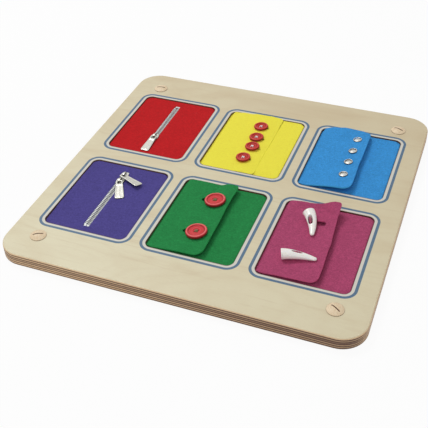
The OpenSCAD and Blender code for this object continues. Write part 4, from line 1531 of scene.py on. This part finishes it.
@dataclass
class Toggle:
    """A horn-shaped toggle on its cord.

    The butt gives how far its first rings lie in from the full radius and back from the end. The
    hole's levels give height and growth of the tool that cuts it.
    """

    node: str
    body: str
    frame: Matrix
    lift: float
    turn: float
    hole: Point2
    bulge: float
    length: float = 34.5
    wide: float = 13.8
    tip: float = 5.0
    flat: float = 0.74
    bow: float = 1.75
    taper: float = 1.29
    end_cut: float = 0.23
    cord_at: float = 12.0
    hole_shift: float = 4.5
    hole_levels: tuple[Point2, ...] = ((-1.0, 1.2), (0.7, 1.0), (4.6, 1.0), (13.8, 1.4))
    hole_sides: int = 36
    hole_square: float = 0.75
    loop_top: float = 7.6
    sides: int = 40
    rings: int = 40
    first_ring: int = 3
    butt: tuple[Point2, ...] = ((2.2, 0.0), (0.9, 0.05), (0.3, 0.35), (0.0, 1.0))
    tip_angles: tuple[int, ...] = (25, 50, 70, 84)
    loop_foot: float = 2.0
    loop_sink: float = 1.5
    loop_square: float = 0.35
    loop_step: float = 0.02
    loop_inset: float = 0.3
    loop_turns: float = 9.0
    loop_twist: Point2 = (0.6, 0.4)
    loop_strand: float = 0.8
    cord_step: float = 0.35
    cord_turns: float = 1.25
    cord_twist: float = 0.5
    cord_strand: float = 0.58
    cord_sunk: float = 0.6

    def centre(self, share: float) -> Point2:
        """The horn's centreline at a share of its length, from the cord."""
        rest = self.cord_at / self.length
        return (self.length * share - self.cord_at,
                4 * self.bow * (share * (1 - share) - rest * (1 - rest)) + self.bulge)

    def radius(self, share: float) -> float:
        """The horn's radius at a share of its length."""
        return (self.wide + (self.tip - self.wide) * share ** self.taper) / 2

    def rows(self) -> list[tuple[float, float, float, float]]:
        """Works out the horn's rings, from its butt to its tip.

        Returns:
            Place, radius and middle height of each ring.
        """
        x, y = self.centre(0.0)
        full = self.radius(0.0)
        rows = [(x + back, y, full - inset, full) for inset, back in self.butt]
        for n in range(self.first_ring, self.rings + 1):
            share = n / self.rings
            rows.append((*self.centre(share), self.radius(share), self.radius(share)))
        x, y = self.centre(1.0)
        tip = self.tip / 2
        for a in map(math.radians, self.tip_angles):
            rows.append((x + tip * math.sin(a), y, tip * math.cos(a), tip))
        return rows

    def build(self) -> None:
        """Builds the toggle with its oval hole, and the cord's loop."""
        seat = (self.frame @ Matrix.Translation((0, 0, self.lift))
                @ Matrix.Rotation(math.radians(self.turn), 4, "Z"))
        mesh = bmesh.new()
        rings: list[Ring] = []
        for x, y, size, high in self.rows():
            cut = self.end_cut if len(rings) < len(self.butt) else 0.0
            rings.append([mesh.verts.new((x - cut * size * a, y + size * a,
                                          self.flat * (high + size * b)))
                          for a, b in circle(self.sides)])
        skin(mesh, rings)
        horn = make_object(f"{self.node}_horn", mesh, 60.0)
        cut_hole(horn, self.hole_cutter())
        horn.data.transform(Matrix.Scale(MM, 4) @ seat @ Matrix.Scale(1 / MM, 4))
        horn.data.shade_smooth()
        horn.data.set_sharp_from_angle(angle=math.radians(38.0))
        fit(horn, Horn(), self.body, "toggle_horn", self.node)
        self.build_loop(seat)
        LOG.info("toggle %s: %d faces", self.node, len(horn.data.polygons))

    def hole_cutter(self) -> Piece:
        """Makes the tool that cuts the oval hole.

        Returns:
            The tool, to be removed after the cut.
        """
        mesh = bmesh.new()
        oval = [tuple(size * math.copysign(abs(part) ** self.hole_square, part)
                      for size, part in zip(self.hole, (math.cos(a), math.sin(a))))
                for a in (2 * math.pi * k / self.hole_sides for k in range(self.hole_sides))]
        skin(mesh, [[mesh.verts.new((self.hole_shift + a * (grow + 3) / 4, b * grow, z))
                     for a, b in oval] for z, grow in self.hole_levels])
        return make_object("toggle_hole_cutter", mesh)

    def build_loop(self, seat: Matrix) -> None:
        """Builds the cord's loop, which lies along the toggle's hole.

        Args:
            seat: The toggle's frame.
        """
        mesh = bmesh.new()
        reach = 2 * (self.hole_shift - self.loop_inset)
        across, up = self.loop_twist
        for phase in (0.0, math.pi):
            path = []
            for share in steps(0.0, 1.0, self.loop_step):
                angle = phase + share * self.loop_turns
                over = math.sin(math.pi * share) ** self.loop_square
                high = self.loop_foot + (self.loop_top - self.loop_foot
                                         - self.loop_sink * share) * over
                path.append(seat @ Vector((self.loop_inset + reach * share,
                                           across * math.cos(angle),
                                           high + up * math.sin(angle))))
            add_tube(mesh, path, self.loop_strand, up=Vector((0.1, 0.2, 1)))
        fit(make_object(f"{self.node}_cord_loop", mesh, 60.0), CORD_PINK, self.body,
            "toggle_cord")

    def add_cord(self, mesh: Mesh, drop: float) -> None:
        """Adds the toggle's twisted cord, from the felt up into the hole.

        Args:
            mesh: The mesh of both cords.
            drop: How far the cord reaches below the flap's face.
        """
        top = self.lift + self.loop_top - self.cord_sunk
        for phase in (0.0, math.pi):
            path = []
            for high in steps(-drop, top, self.cord_step):
                angle = phase + high * self.cord_turns
                path.append(self.frame @ Vector((self.cord_twist * math.cos(angle),
                                                 self.cord_twist * math.sin(angle), high)))
            add_tube(mesh, path, self.cord_strand, up=Vector((0, 1, 0.1)))


# --- Zips ---------------------------------------------------------------------------------------


@dataclass
class ZipSlider:
    """A zip's slider with its bridge, and the pull that hangs on it.

    The pull's panel and the rib in its middle set in at a distance from the pull's outline, and
    each front gives where it starts past the eye.
    """

    name: str
    place: Point2
    turn: float
    pull_turn: float
    pull_shift: Point2
    droop: float
    slider: str
    pull: str
    length: float = 11.0
    wide: float = 9.6
    tail: float = 7.3
    plate_z: Point2 = (9.2, 10.0)
    top_z: Point2 = (13.3, 14.4)
    plate_chamfer: float = 0.22
    top_chamfer: float = 0.3
    crown: Point2 = (0.66, 0.72)
    crown_z: Point2 = (-0.1, 0.16)
    crown_chamfer: float = 0.12
    post_half: Point2 = (0.22, 1.5)
    sunk: float = 0.1
    room: float = 2.3
    bridge_half: float = 3.5
    bridge_thick: float = 0.4
    bridge_foot: Point2 = (0.6, 0.2)
    bridge_square: Point2 = (0.55, 0.42)
    strap: tuple[Point2, ...] = ((0.9, -0.25), (0.75, -0.4), (-0.75, -0.4), (-0.9, -0.25),
                                 (-0.9, 0.2), (-0.7, 0.4), (0.7, 0.4), (0.9, 0.2))
    pull_length: float = 31.4
    pull_end: float = 11.0
    pull_top: float = 8.2
    pull_thick: float = 1.2
    pull_even: float = 0.6
    pull_corners: Point2 = (1.9, 2.6)
    pull_head: float = 0.35
    eye: Point2 = (4.6, 4.9)
    eye_corner: float = 1.3
    bar: float = 1.4
    roll: float = 0.0
    lift: float = 0.0
    panel: Point2 = (1.1, 1.45)
    panel_front: Point2 = (-8.6, -9.2)
    panel_deep: float = 0.2
    rib: Point2 = (0.9, 0.6)
    rib_in: Point2 = (2.2, 2.6)
    rib_front: Point2 = (-10.4, -11.0)
    rib_high: float = 0.14
    rim_round: Point2 = (0.3, 0.7)
    edge_bulge: float = 0.05
    cell: Point2 = (0.36, 0.4)
    spare: Point2 = (0.1, 0.8)

    def outline(self) -> list[Point2]:
        """Draws the slider's plan, with its wide end towards -Y.

        Returns:
            The plan's points, anticlockwise.
        """
        half, tail, end = self.wide / 2, self.tail / 2, self.length / 2
        mouth = (self.wide + 2 * self.tail) / 6
        right = [(mouth - 1.2, -end), (mouth - 0.2, -end + 0.35), (half - 0.35, -end + 1.5),
                 (half, -end + 2.4), (half, 0.6), (half - 0.3, 1.8), (tail + 0.25, end - 1.2),
                 (tail - 0.15, end - 0.35), (tail - 0.9, end)]
        return right + [(-x, y) for x, y in reversed(right)]

    def build(self) -> None:
        """Builds the slider and its pull."""
        seat = (Matrix.Translation((*self.place, 0.0))
                @ Matrix.Rotation(math.radians(self.turn), 4, "Z"))
        mesh = bmesh.new()
        plan = self.outline()
        top = self.top_z[1]
        add_prism(mesh, plan, *self.plate_z, seat, self.plate_chamfer)
        add_prism(mesh, plan, *self.top_z, seat, self.top_chamfer)
        add_prism(mesh, [(x * self.crown[0], y * self.crown[1]) for x, y in plan],
                  top + self.crown_z[0], top + self.crown_z[1], seat, self.crown_chamfer)
        x, y = self.post_half
        add_prism(mesh, [(-x, -y), (x, -y), (x, y), (-x, y)], self.plate_z[1] - self.sunk,
                  self.top_z[0] + self.sunk, seat)
        self.add_bridge(mesh, seat)
        fit(make_object(f"{self.name}_slider_body", mesh, 30.0),
            Metal("slider_plating", Polish.PULL), self.slider, "pull_metal", self.slider)
        self.build_pull()
        LOG.info("slider %s", self.name)

    def add_bridge(self, mesh: Mesh, seat: Matrix) -> None:
        """Sweeps the bridge's flat section along its arch.

        Args:
            mesh: The mesh that grows.
            seat: The slider's frame.
        """
        half, top = self.bridge_half, self.top_z[1]
        outer, inner = self.bridge_foot
        along, up = self.bridge_square
        rise = self.room + self.bridge_thick + inner
        path = [seat @ Vector((0, -half, top - outer))]
        for a in map(math.radians, range(0, 181, 12)):
            squeeze = abs(math.cos(a)) ** along
            path.append(seat @ Vector((0, -half * math.copysign(squeeze, math.cos(a)),
                                       top - inner + rise * math.sin(a) ** up)))
        path.append(seat @ Vector((0, half, top - outer)))
        side = seat.to_3x3() @ Vector((1, 0, 0))
        rings: list[Ring] = []
        for n, point in enumerate(path):
            ahead = (path[min(n + 1, len(path) - 1)] - path[max(n - 1, 0)]).normalized()
            out = side.cross(ahead).normalized()
            rings.append([mesh.verts.new(point + side * a + out * b) for a, b in self.strap])
        skin(mesh, rings)

    def pull_half(self, y: float) -> float:
        """Half the pull's width.

        Args:
            y: Place along the pull.

        Returns:
            The half width.
        """
        start = -self.bar / 2 - self.eye[1]
        curve = ease(y, start, -self.pull_length)
        even = max(0.0, min(1.0, (start - y) / (self.pull_length + start)))
        share = self.pull_even * even + (1 - self.pull_even) * curve
        return (self.pull_top + (self.pull_end - self.pull_top) * share) / 2

    def pull_cut(self, x: float, y: float) -> float:
        """Distance from the pull's outline and its eye.

        Args:
            x: Place across the pull.
            y: Place along it.

        Returns:
            The distance.
        """
        middle = self.pull_length / 2
        radius = self.pull_corners[y < -middle]
        body = round_box(x, y + middle - self.pull_head, self.pull_half(y),
                         middle + self.pull_head, radius)
        eye_y = -self.bar / 2 - self.eye[1] / 2
        eye = round_box(x, y - eye_y, self.eye[0] / 2, self.eye[1] / 2, self.eye_corner)
        return max(body, -eye)

    def pull_face(self, x: float, y: float) -> float:
        """Half the pull's thickness: a border stands round the panel, and a rib in its middle.

        Args:
            x: Place across the pull.
            y: Place along it.

        Returns:
            The half thickness.
        """
        inside = -self.pull_cut(x, y)
        panel = ease(inside, *self.panel) * ease(y, *self.panel_front)
        rib = ease(abs(x), *self.rib) * ease(inside, *self.rib_in) * ease(y, *self.rib_front)
        drop, reach = self.rim_round
        edge = drop * (1 - ease(inside, 0.0, reach)) ** 2
        return self.pull_thick / 2 - self.panel_deep * panel + self.rib_high * rib - edge

    def build_pull(self) -> None:
        """Builds the pull: a plate with a raised border, on the bridge's bar."""
        bar_z = self.top_z[1] + self.room / 2 + self.lift
        x, y = self.place
        turn = math.radians(self.pull_turn)
        seat = (Matrix.Translation((x + self.pull_shift[0], y + self.pull_shift[1], bar_z))
                @ Matrix.Rotation(math.radians(self.droop), 4,
                                  Vector((math.cos(turn), math.sin(turn), 0)))
                @ Matrix.Rotation(turn, 4, "Z")
                @ Matrix.Rotation(math.radians(self.roll), 4, "Y"))
        wide, long = self.cell
        near, past = self.spare
        half = self.pull_end / 2 + near
        xs = steps(-half, half, wide)
        ys = steps(-self.pull_length - near, past, long)
        tab = plate(f"{self.name}_pull_plate", xs, ys, self.pull_cut, self.pull_face,
                    lambda px, py: -self.pull_face(px, py), self.edge_bulge, seat, 40.0)
        fit(tab, Metal("pull_plating", Polish.PULL), self.pull, "pull_metal", self.pull)


@dataclass
class ZipWindow(Window):
    """A window whose felt is slotted for a zip.

    A tooth is half of a pair: its jaw grips the tape and its neck carries the head that locks
    between two heads of the other row. Its plans start at the zip's middle line.
    """

    zip_x: float = ZIP_SHIFT
    slot_half: Point2 = (3.75, 52.5)
    slot_shift: float = 0.5
    slot_corner: float = 0.8
    slot_dip: Point2 = (0.35, 3.5)
    chain_z: float = 11.0
    pitch: float = 2.5
    first: float = 0.56
    tape_ends: float = 3.0
    end_gap: float = 0.2
    side_gap: float = 0.15
    jaw_from: float = 1.35
    jaw_half: float = 0.66
    neck: tuple[Point2, ...] = ((0.3, -0.34), (1.5, -0.42), (1.5, 0.42), (0.3, 0.34))
    head: tuple[Point2, ...] = ((-0.38, -0.42), (0.05, -0.6), (0.5, -0.5), (0.5, 0.5),
                                (0.05, 0.6), (-0.38, 0.42))
    jaw_z: Point3 = (0.02, 1.72, 0.24)
    neck_z: Point3 = (0.25, 1.3, 0.14)
    head_z: Point3 = (0.15, 1.42, 0.2)
    bead_from: float = 2.3
    bead_z: Point2 = (0.02, 1.0)
    felt_top: float = 13.1
    crease: float = 0.0
    crease_at: Point2 = (1.2, 1.1)
    crease_fade: Point2 = (3.0, 8.0)
    swell: float = 0.8
    swell_from: Point2 = (-60.0, -50.5)
    swell_front: Point2 = (-50.0, -25.0)

    def slot_away(self, x: float, y: float) -> float:
        """Distance from the slot, less than 0 inside it."""
        lx, ly = self.local(x, y)
        return round_box(lx - self.zip_x + self.slot_shift, ly, *self.slot_half,
                         self.slot_corner)

    def felt_height(self, x: float, y: float) -> float:
        """Height of the felt, which dips to the zip along its slot.

        Args:
            x: Place across the board.
            y: Place along it.

        Returns:
            The height.
        """
        high = super().felt_height(x, y)
        lx, ly = self.local(x, y)
        deep, reach = self.slot_dip
        high -= deep * (1 - ease(self.slot_away(x, y), 0.0, reach))
        past, wide = self.crease_at
        fold = math.exp(-((ly + self.slot_half[1] + past) / wide) ** 2)
        return high + self.crease * fold * (1 - ease(abs(lx - self.zip_x), *self.crease_fade))

    def felt_cut(self, x: float, y: float) -> float:
        """Distance from the felt's edge and from its slot."""
        return max(super().felt_cut(x, y), -self.slot_away(x, y))

    def build_teeth(self) -> None:
        """Builds both rows of teeth, locked into each other."""
        run = 2 * (self.slot_half[1] - self.tape_ends) - self.end_gap
        count = int((run - self.pitch) / self.pitch) + 1
        cx, cy = self.centre[0] + self.zip_x, self.centre[1]
        for side, word in ((-1, "left"), (1, "right")):
            mesh = bmesh.new()
            mirror = Matrix.Scale(side, 4, Vector((1, 0, 0)))
            outer = self.slot_half[0] - self.side_gap - side * self.slot_shift
            near, half = self.jaw_from, self.jaw_half
            jaw = ((near, -half), (outer, -half), (outer, half), (near, half))
            for i in range(count):
                start = -run / 2 + (i + (side + 1) / 4) * self.pitch + self.first
                seat = Matrix.Translation((cx, cy + start, self.chain_z)) @ mirror
                for plan, (low, high, chamfer) in ((jaw, self.jaw_z), (self.neck, self.neck_z),
                                                   (self.head, self.head_z)):
                    add_prism(mesh, plan, low, high, seat, chamfer)
            near, half = self.bead_from, run / 2
            bead = ((near, -half), (outer, -half), (outer, half), (near, half))
            add_prism(mesh, bead, *self.bead_z,
                      Matrix.Translation((cx, cy, self.chain_z)) @ mirror)
            teeth = make_object(f"{self.name}_teeth_{word}", mesh, 30.0)
            fit(teeth, ZIP_METAL, "board", "zip_metal", f"{self.name}_zip_teeth_{word}")
            LOG.info("%s %s teeth: %d faces", self.name, word, len(teeth.data.polygons))


# --- The whole board ----------------------------------------------------------------------------


def soften(piece: Piece, width: float) -> None:
    """Rounds a hard piece's sharp edges with a modifier.

    Args:
        piece: The object.
        width: The round's width in millimetres.
    """
    step = piece.modifiers.new("soft_edges", "BEVEL")
    step.width, step.segments, step.limit_method = width * MM, 2, "ANGLE"
    step.angle_limit = math.radians(35)


@dataclass
class Panels:
    """The two plywood panels and the four screw caps, whose CAD shapes are kept."""

    nodes: dict[str, Piece]
    caps: tuple[str, ...] = ("front_left", "front_right", "back_left", "back_right")
    cap_round: float = 0.25

    def build(self) -> None:
        """Gives the panels and the caps their wood."""
        for name in ("front_panel", "back_panel"):
            dress(self.nodes[name], Birch())
        for name in self.caps:
            cap = dress(self.nodes[f"cap_{name}"], CapWood())
            soften(cap, self.cap_round)
        LOG.info("panels and caps dressed")


@dataclass
class Hardware:
    """Small parts that keep their CAD shapes: tapes, stops, shanks, studs and rivets."""

    nodes: dict[str, Piece]
    weave: float = 1.4
    stop_round: float = 0.25
    snap_round: float = 0.12

    def build(self) -> None:
        """Gives each small part its finish."""
        for window, colour in (("red", linear(178, 30, 36)), ("purple", linear(70, 56, 130))):
            for side in ("left", "right"):
                dress(self.nodes[f"{window}_zip_tape_{side}"],
                      Yarn(f"{window}_tape", colour, self.weave))
            soften(dress(self.nodes[f"{window}_zip_stops"], ZIP_METAL), self.stop_round)
        for window, yarn in (("yellow", THREAD_WHITE), ("green", THREAD_OLIVE)):
            dress(self.nodes[f"{window}_thread_shanks"], yarn)
        for name in ("sockets", "studs", "rivets"):
            part = dress(self.nodes[f"blue_snap_{name}"], Metal("snap_brass", Polish.SATIN))
            soften(part, self.snap_round)
        LOG.info("small hardware dressed")


@dataclass
class ButtonRow:
    """The buttons that close a flap, from back to front."""

    flap: Flap
    size: str
    spots: dict[str, Point2]
    diameter: float
    thick: float
    finish: Gloss
    thread: Yarn
    strand: float
    apart: float
    lift: float = 0.3

    def build(self) -> None:
        """Builds the buttons on the flap, raised to clear its arc."""
        window = self.flap.window.name
        radius = self.diameter / 2
        lift = self.lift + radius ** 2 / (2 * (self.flap.arc - self.flap.arc_thick))
        for key, spot in self.spots.items():
            node = f"{window}_button_{key}"
            Button(node, f"{window}_stitch_{key}", node, self.flap.frame_at(*spot), lift,
                   self.diameter, self.thick, self.finish, self.thread,
                   (f"button_{self.size}", self.thread.name), self.strand, self.apart).build()


@dataclass
class SnapRow:
    """The four snap caps on the blue flap.

    The foot gives the shaft's radius and how deep it reaches into the felt.
    """

    flap: Flap
    spots: Sequence[Point2]
    radius: float = 5.3
    roll: float = 0.72
    seat: float = 0.12
    foot: Point2 = (1.5, -1.9)
    rim_angles: range = range(-90, 121, 21)
    dome_steps: float = 0.125
    dome: float = 0.62
    sides: int = 44

    def build(self) -> None:
        """Builds the domed caps with their rolled rims."""
        shaft, deep = self.foot
        profile = [(0.0, deep), (shaft, deep), (shaft, self.seat)]
        for a in map(math.radians, self.rim_angles):
            profile.append((self.radius - self.roll + self.roll * math.cos(a),
                            self.seat + self.roll + self.roll * math.sin(a)))
        dish = self.radius - 2 * self.roll
        for share in steps(0.0, 1.0, self.dome_steps):
            far = dish * (1 - share)
            profile.append((far, self.roll + self.dome * (1 - (far / dish) ** 2)))
        mesh = bmesh.new()
        for spot in self.spots:
            add_lathe(mesh, profile, self.flap.frame_at(*spot), self.sides)
        caps = make_object("blue_snap_domes", mesh, 40.0)
        fit(caps, Metal("snap_pearl", Polish.PEARL), "blue_flap", "snap_cap_metal",
            "blue_snap_caps")
        LOG.info("snap caps: %d faces", len(caps.data.polygons))


@dataclass
class ToggleSpot:
    """Where a toggle sits on its flap and how it differs from the other."""

    name: str
    away: float
    along: float
    turn: float
    hole: Point2
    bulge: float
    lift: float


@dataclass
class ToggleRow:
    """The toggles that close the magenta flap, with their cords."""

    flap: Flap
    spots: Sequence[ToggleSpot]
    reach: float = 22.5

    def build(self) -> None:
        """Builds the toggles, raised to clear the flap's arc, and their cords."""
        mesh = bmesh.new()
        sag = self.reach ** 2 / (2 * (self.flap.arc - self.flap.arc_thick))
        for spot in self.spots:
            toggle = Toggle(f"magenta_toggle_{spot.name}", f"toggle_{spot.name}",
                            self.flap.frame_at(spot.away, spot.along), sag + spot.lift,
                            spot.turn, spot.hole, spot.bulge)
            toggle.build()
            toggle.add_cord(mesh, self.flap.arc_top(spot.away) - self.flap.window.felt_top)
        fit(make_object("magenta_cords", mesh, 60.0), CORD_PINK, "board", "toggle_cord",
            "magenta_toggle_cords")


@dataclass
class Studio:
    """Floor, light and camera."""

    place: Point3 = (250.4, -680.0, 559.0)
    right: Point3 = (0.93421, 0.35585, -0.02477)
    down: Point3 = (0.2085, -0.60107, -0.77152)
    ahead: Point3 = (-0.28944, 0.7156, -0.63573)
    lens: float = 64.685
    sensor: float = 36.0
    clip: Point2 = (0.01, 20.0)
    sky: float = 0.40
    reach: float = 6000.0
    drop: float = 0.05
    glow: float = 0.93
    dust: Grain = Grain(2.0, 0.5, scale=0.002)
    lamps: Sequence[tuple[str, Point3, float, float]] = (
        ("key_lamp", (-900.0, 600.0, 1900.0), 800.0, 17.5),
        ("fill_lamp", (0.0, -1300.0, 1500.0), 1400.0, 7.0),
    )

    def build(self) -> None:
        """Builds the floor, the lamps, the sky and the camera."""
        self.build_floor()
        self.build_sky()
        for name, spot, size, power in self.lamps:
            lamp = bpy.data.lights.new(name, "AREA")
            lamp.shape, lamp.size, lamp.energy = "DISK", size * MM, power
            made = bpy.data.objects.new(name, lamp)
            made.location = Vector(spot) * MM
            made.rotation_euler = (-Vector(spot)).to_track_quat("-Z", "Y").to_euler()
            bpy.context.scene.collection.objects.link(made)
        self.build_camera()
        bpy.context.scene.view_settings.view_transform = "Standard"
        LOG.info("studio ready")

    def build_floor(self) -> None:
        """Builds the pale floor under the board, near white where it is seen."""
        mesh = bmesh.new()
        far = self.reach
        mesh.faces.new([mesh.verts.new((x, y, -self.drop)) for x, y in
                        ((-far, -far), (far, -far), (far, far), (-far, far))])
        floor = make_object("studio_floor", mesh)
        t = Surface("studio_white")
        shade = t.blend(t.cloud(t.place(), self.dust), (0.86, 0.86, 0.86), (0.9, 0.9, 0.9))
        t.finish(Base_Color=shade, Roughness=0.9, Specular_IOR_Level=0.1)
        glow = t.node("ShaderNodeEmission", {}, {"Color": (1.0, 1.0, 1.0), "Strength": 1.0})
        both = t.node("ShaderNodeMixShader", {}, {0: t.background_seen() * self.glow,
                                                  1: t.shader.outputs[0], 2: glow.outputs[0]})
        t.join(both.outputs[0], t.output.inputs["Surface"])
        floor.data.materials.append(t.material)

    def build_sky(self) -> None:
        """Builds the soft white sky, plain white where it is seen."""
        world = bpy.data.worlds.new("studio_sky")
        bpy.context.scene.world = world
        t = Tree(world)
        level = t.value("ShaderNodeMapRange", {},
                        {"Value": t.background_seen(), "To Min": self.sky, "To Max": 1.0})
        back = t.node("ShaderNodeBackground", {},
                      {"Color": (1.0, 1.0, 1.0), "Strength": level})
        t.node("ShaderNodeOutputWorld", {}, {"Surface": back.outputs[0]})

    def build_camera(self) -> None:
        """Builds the camera, seen from the front right and above."""
        data = bpy.data.cameras.new("view")
        data.lens, data.sensor_width = self.lens, self.sensor
        data.clip_start, data.clip_end = self.clip
        camera = bpy.data.objects.new("view", data)
        x, y, z = Vector(self.right), -Vector(self.down), -Vector(self.ahead)
        turn = Matrix((x, y, z)).transposed().to_4x4()
        camera.matrix_world = Matrix.Translation(Vector(self.place) * MM) @ turn
        bpy.context.scene.collection.objects.link(camera)
        bpy.context.scene.camera = camera


def build_zips() -> None:
    """Builds the red and the purple window with their zips."""
    west, north = PITCH
    for window in (ZipWindow("red", (-west, north), FELT_RED, seed=1.0),
                   ZipWindow("purple", (-west, -north), FELT_PURPLE, seed=2.0,
                             crease=0.7)):
        window.build_felt()
        window.build_teeth()
    droop, hang = 2.87, (0.0, -1.45)
    ZipSlider("red", (ZIP_X, 54.5), 0.0, 0.0, hang, droop,
              "red_slider", "red_pull").build()
    ZipSlider("purple_front", (ZIP_X, -46.0), 180.0, 26.0, hang, droop,
              "purple_slider_front", "purple_pull_front").build()
    aslant, slack, bridge = 66.0, 1.95, -3.45
    hang = (-slack * math.sin(math.radians(aslant)),
            bridge + slack * math.cos(math.radians(aslant)))
    ZipSlider("purple_back", (ZIP_X, -33.5), 0.0, aslant, hang, -2.0,
              "purple_slider_back", "purple_pull_back", roll=13.0, lift=0.4).build()


def build_yellow() -> None:
    """Builds the yellow window with its four small buttons."""
    window = Window("yellow", (0.0, PITCH[1]), FELT_YELLOW, seed=3.0, swell=2.0,
                    swell_reach=(40.0, 60.0))
    window.build_felt()
    spots = ((48.0, 35.5), (50.0, 10.5), (51.5, -10.5), (48.5, -36.0))
    flap = Flap(window, length=70.0, rise=1.7, depth=124.4, thick=0.7, front_radius=5.0,
                back_lift=((0, 0.3), (10, 0.3), (16, 1.2), (28, 1.3), (34, 2.4), (46, 2.3),
                           (58, 1.9), (66, 1.8), (70, 1.5)),
                front_lift=((0, -0.1), (10, -0.5), (50, -0.9), (64, -0.6), (70, -0.4)),
                settle=((0, 0), (56, 0), (70, -1.5)),
                edge=((-61, 0.3), (-50, 0.3), (-40, 1.0), (-10, 0.9), (0, 0.1)),
                slots=[Slot(x - 8.5, y, 19.1, 2.6) for x, y in spots], puckers=spots)
    flap.build()
    ButtonRow(flap, "small", {str(k): spot for k, spot in enumerate(spots, 1)},
              diameter=17.5, thick=3.4, strand=0.34, apart=0.3, thread=THREAD_WHITE,
              finish=Gloss("small_button_resin", linear(198, 36, 26),
                           linear(216, 72, 54))).build()


def build_green() -> None:
    """Builds the green window with its two big buttons."""
    window = Window("green", (0.0, -PITCH[1]), FELT_GREEN, seed=4.0, felt_top=12.3)
    window.build_felt()
    spots = {"back": (47.3, 29.0), "front": (47.3, -28.0)}
    places = tuple(spots.values())
    flap = Flap(window, length=66.0, rise=4.6, front_radius=9.5, spread=2.4,
                back_lift=((0, 0.5), (12, 1.75), (16, 2.1), (22, 1.8), (28, 1.5), (34, 0.8),
                           (40, -0.5), (46, 0.6), (51, 2.6), (58, 3.0), (66, 1.3)),
                front_lift=((0, 0.1), (10, -0.2), (16, 0.3), (22, 0.7), (28, 0.8), (34, 1.2),
                            (40, 1.3), (46, 0.8), (52, 0.2), (58, -0.1), (66, 0.3)),
                edge=((-61, 1.0), (-40, 1.0), (-20, 1.5), (0, 1.7), (20, 2.6), (40, 2.6),
                      (50, 1.7), (61, 1.4)),
                slots=[Slot(x - 14.25, y, 24.5, 2.6) for x, y in places], puckers=places,
                holes=[(x - 13.8, y + 1.7) for x, y in places])
    flap.build()
    ButtonRow(flap, "big", spots, diameter=23.8, thick=4.2, strand=0.56, apart=0.5,
              thread=THREAD_OLIVE,
              finish=Gloss("big_button_resin", linear(212, 42, 48),
                           linear(240, 118, 118))).build()


def build_blue() -> None:
    """Builds the blue window with its snapped flap."""
    window = Window("blue", PITCH, FELT_BLUE, seed=5.0)
    window.build_felt()
    spots = tuple((48.2, along) for along in (43.0, 17.5, -6.5, -32.5))
    flap = Flap(window, length=62.0, rise=6.0, spread=3.4, puckers=spots,
                back_lift=((0, 0.8), (4, 1.2), (10, 3.2), (16, 4.6), (22, 5.0), (28, 5.9),
                           (34, 5.4), (40, 4.1), (46, 3.0), (52, 1.8), (58, -0.7),
                           (62, -2.3)),
                front_lift=((0, 0.5), (10, 0.0), (16, 1.0), (22, 2.0), (28, 2.2), (34, 2.9),
                            (40, 3.1), (46, 2.9), (52, 2.3), (58, 2.6), (62, 3.0)),
                edge=((-61, -0.3), (-45, -0.7), (-30, -0.2), (-10, 0.5), (10, 0.0), (30, 0.0),
                      (50, 0.3), (61, 0.5)))
    flap.build()
    SnapRow(flap, spots).build()


def build_magenta() -> None:
    """Builds the magenta window with its two toggles."""
    window = Window("magenta", (PITCH[0], -PITCH[1]), FELT_MAGENTA, seed=6.0)
    window.build_felt()
    spots = (ToggleSpot("back", 34.4, 29.6, -69.0, hole=(6.2, 2.3), bulge=1.5, lift=0.7),
             ToggleSpot("front", 32.6, -29.4, 7.0, hole=(5.6, 1.5), bulge=-1.3, lift=0.3))
    flap = Flap(window, length=66.0, rise=5.2, spread=2.8, calm=(24.5, 36.0),
                back_lift=((0, 1.2), (14, 2.8), (26, 3.7), (37, 5.5), (48, 6.9), (57, 8.6),
                           (66, 7.8)),
                front_lift=((0, 0.9), (10, 1.2), (16, 1.4), (22, 2.2), (28, 2.4), (34, 1.9),
                            (40, 1.5), (46, 1.0), (52, 0.4), (58, -0.1), (66, 0.0)),
                edge=((-61, 0.0), (-40, 0.0), (-30, 0.3), (-20, 0.8), (-10, 1.2), (0, 0.9),
                      (10, 2.1), (20, 2.7), (30, 3.5), (40, 4.2), (61, 4.2)),
                slots=[Slot(s.away - 2.2, s.along + 1.5, 21.6, 8.4) for s in spots],
                puckers=[(s.away, s.along) for s in spots])
    flap.build()
    ToggleRow(flap, spots).build()


def main() -> None:
    """Builds the whole scene in order."""
    logging.basicConfig(level=logging.INFO, format="%(name)s: %(message)s")
    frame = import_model()
    Studio().build()
    Panels(frame["nodes"]).build()
    Hardware(frame["nodes"]).build()
    for build in (build_zips, build_yellow, build_green, build_blue, build_magenta):
        build()


if __name__ == "__main__":
    main()
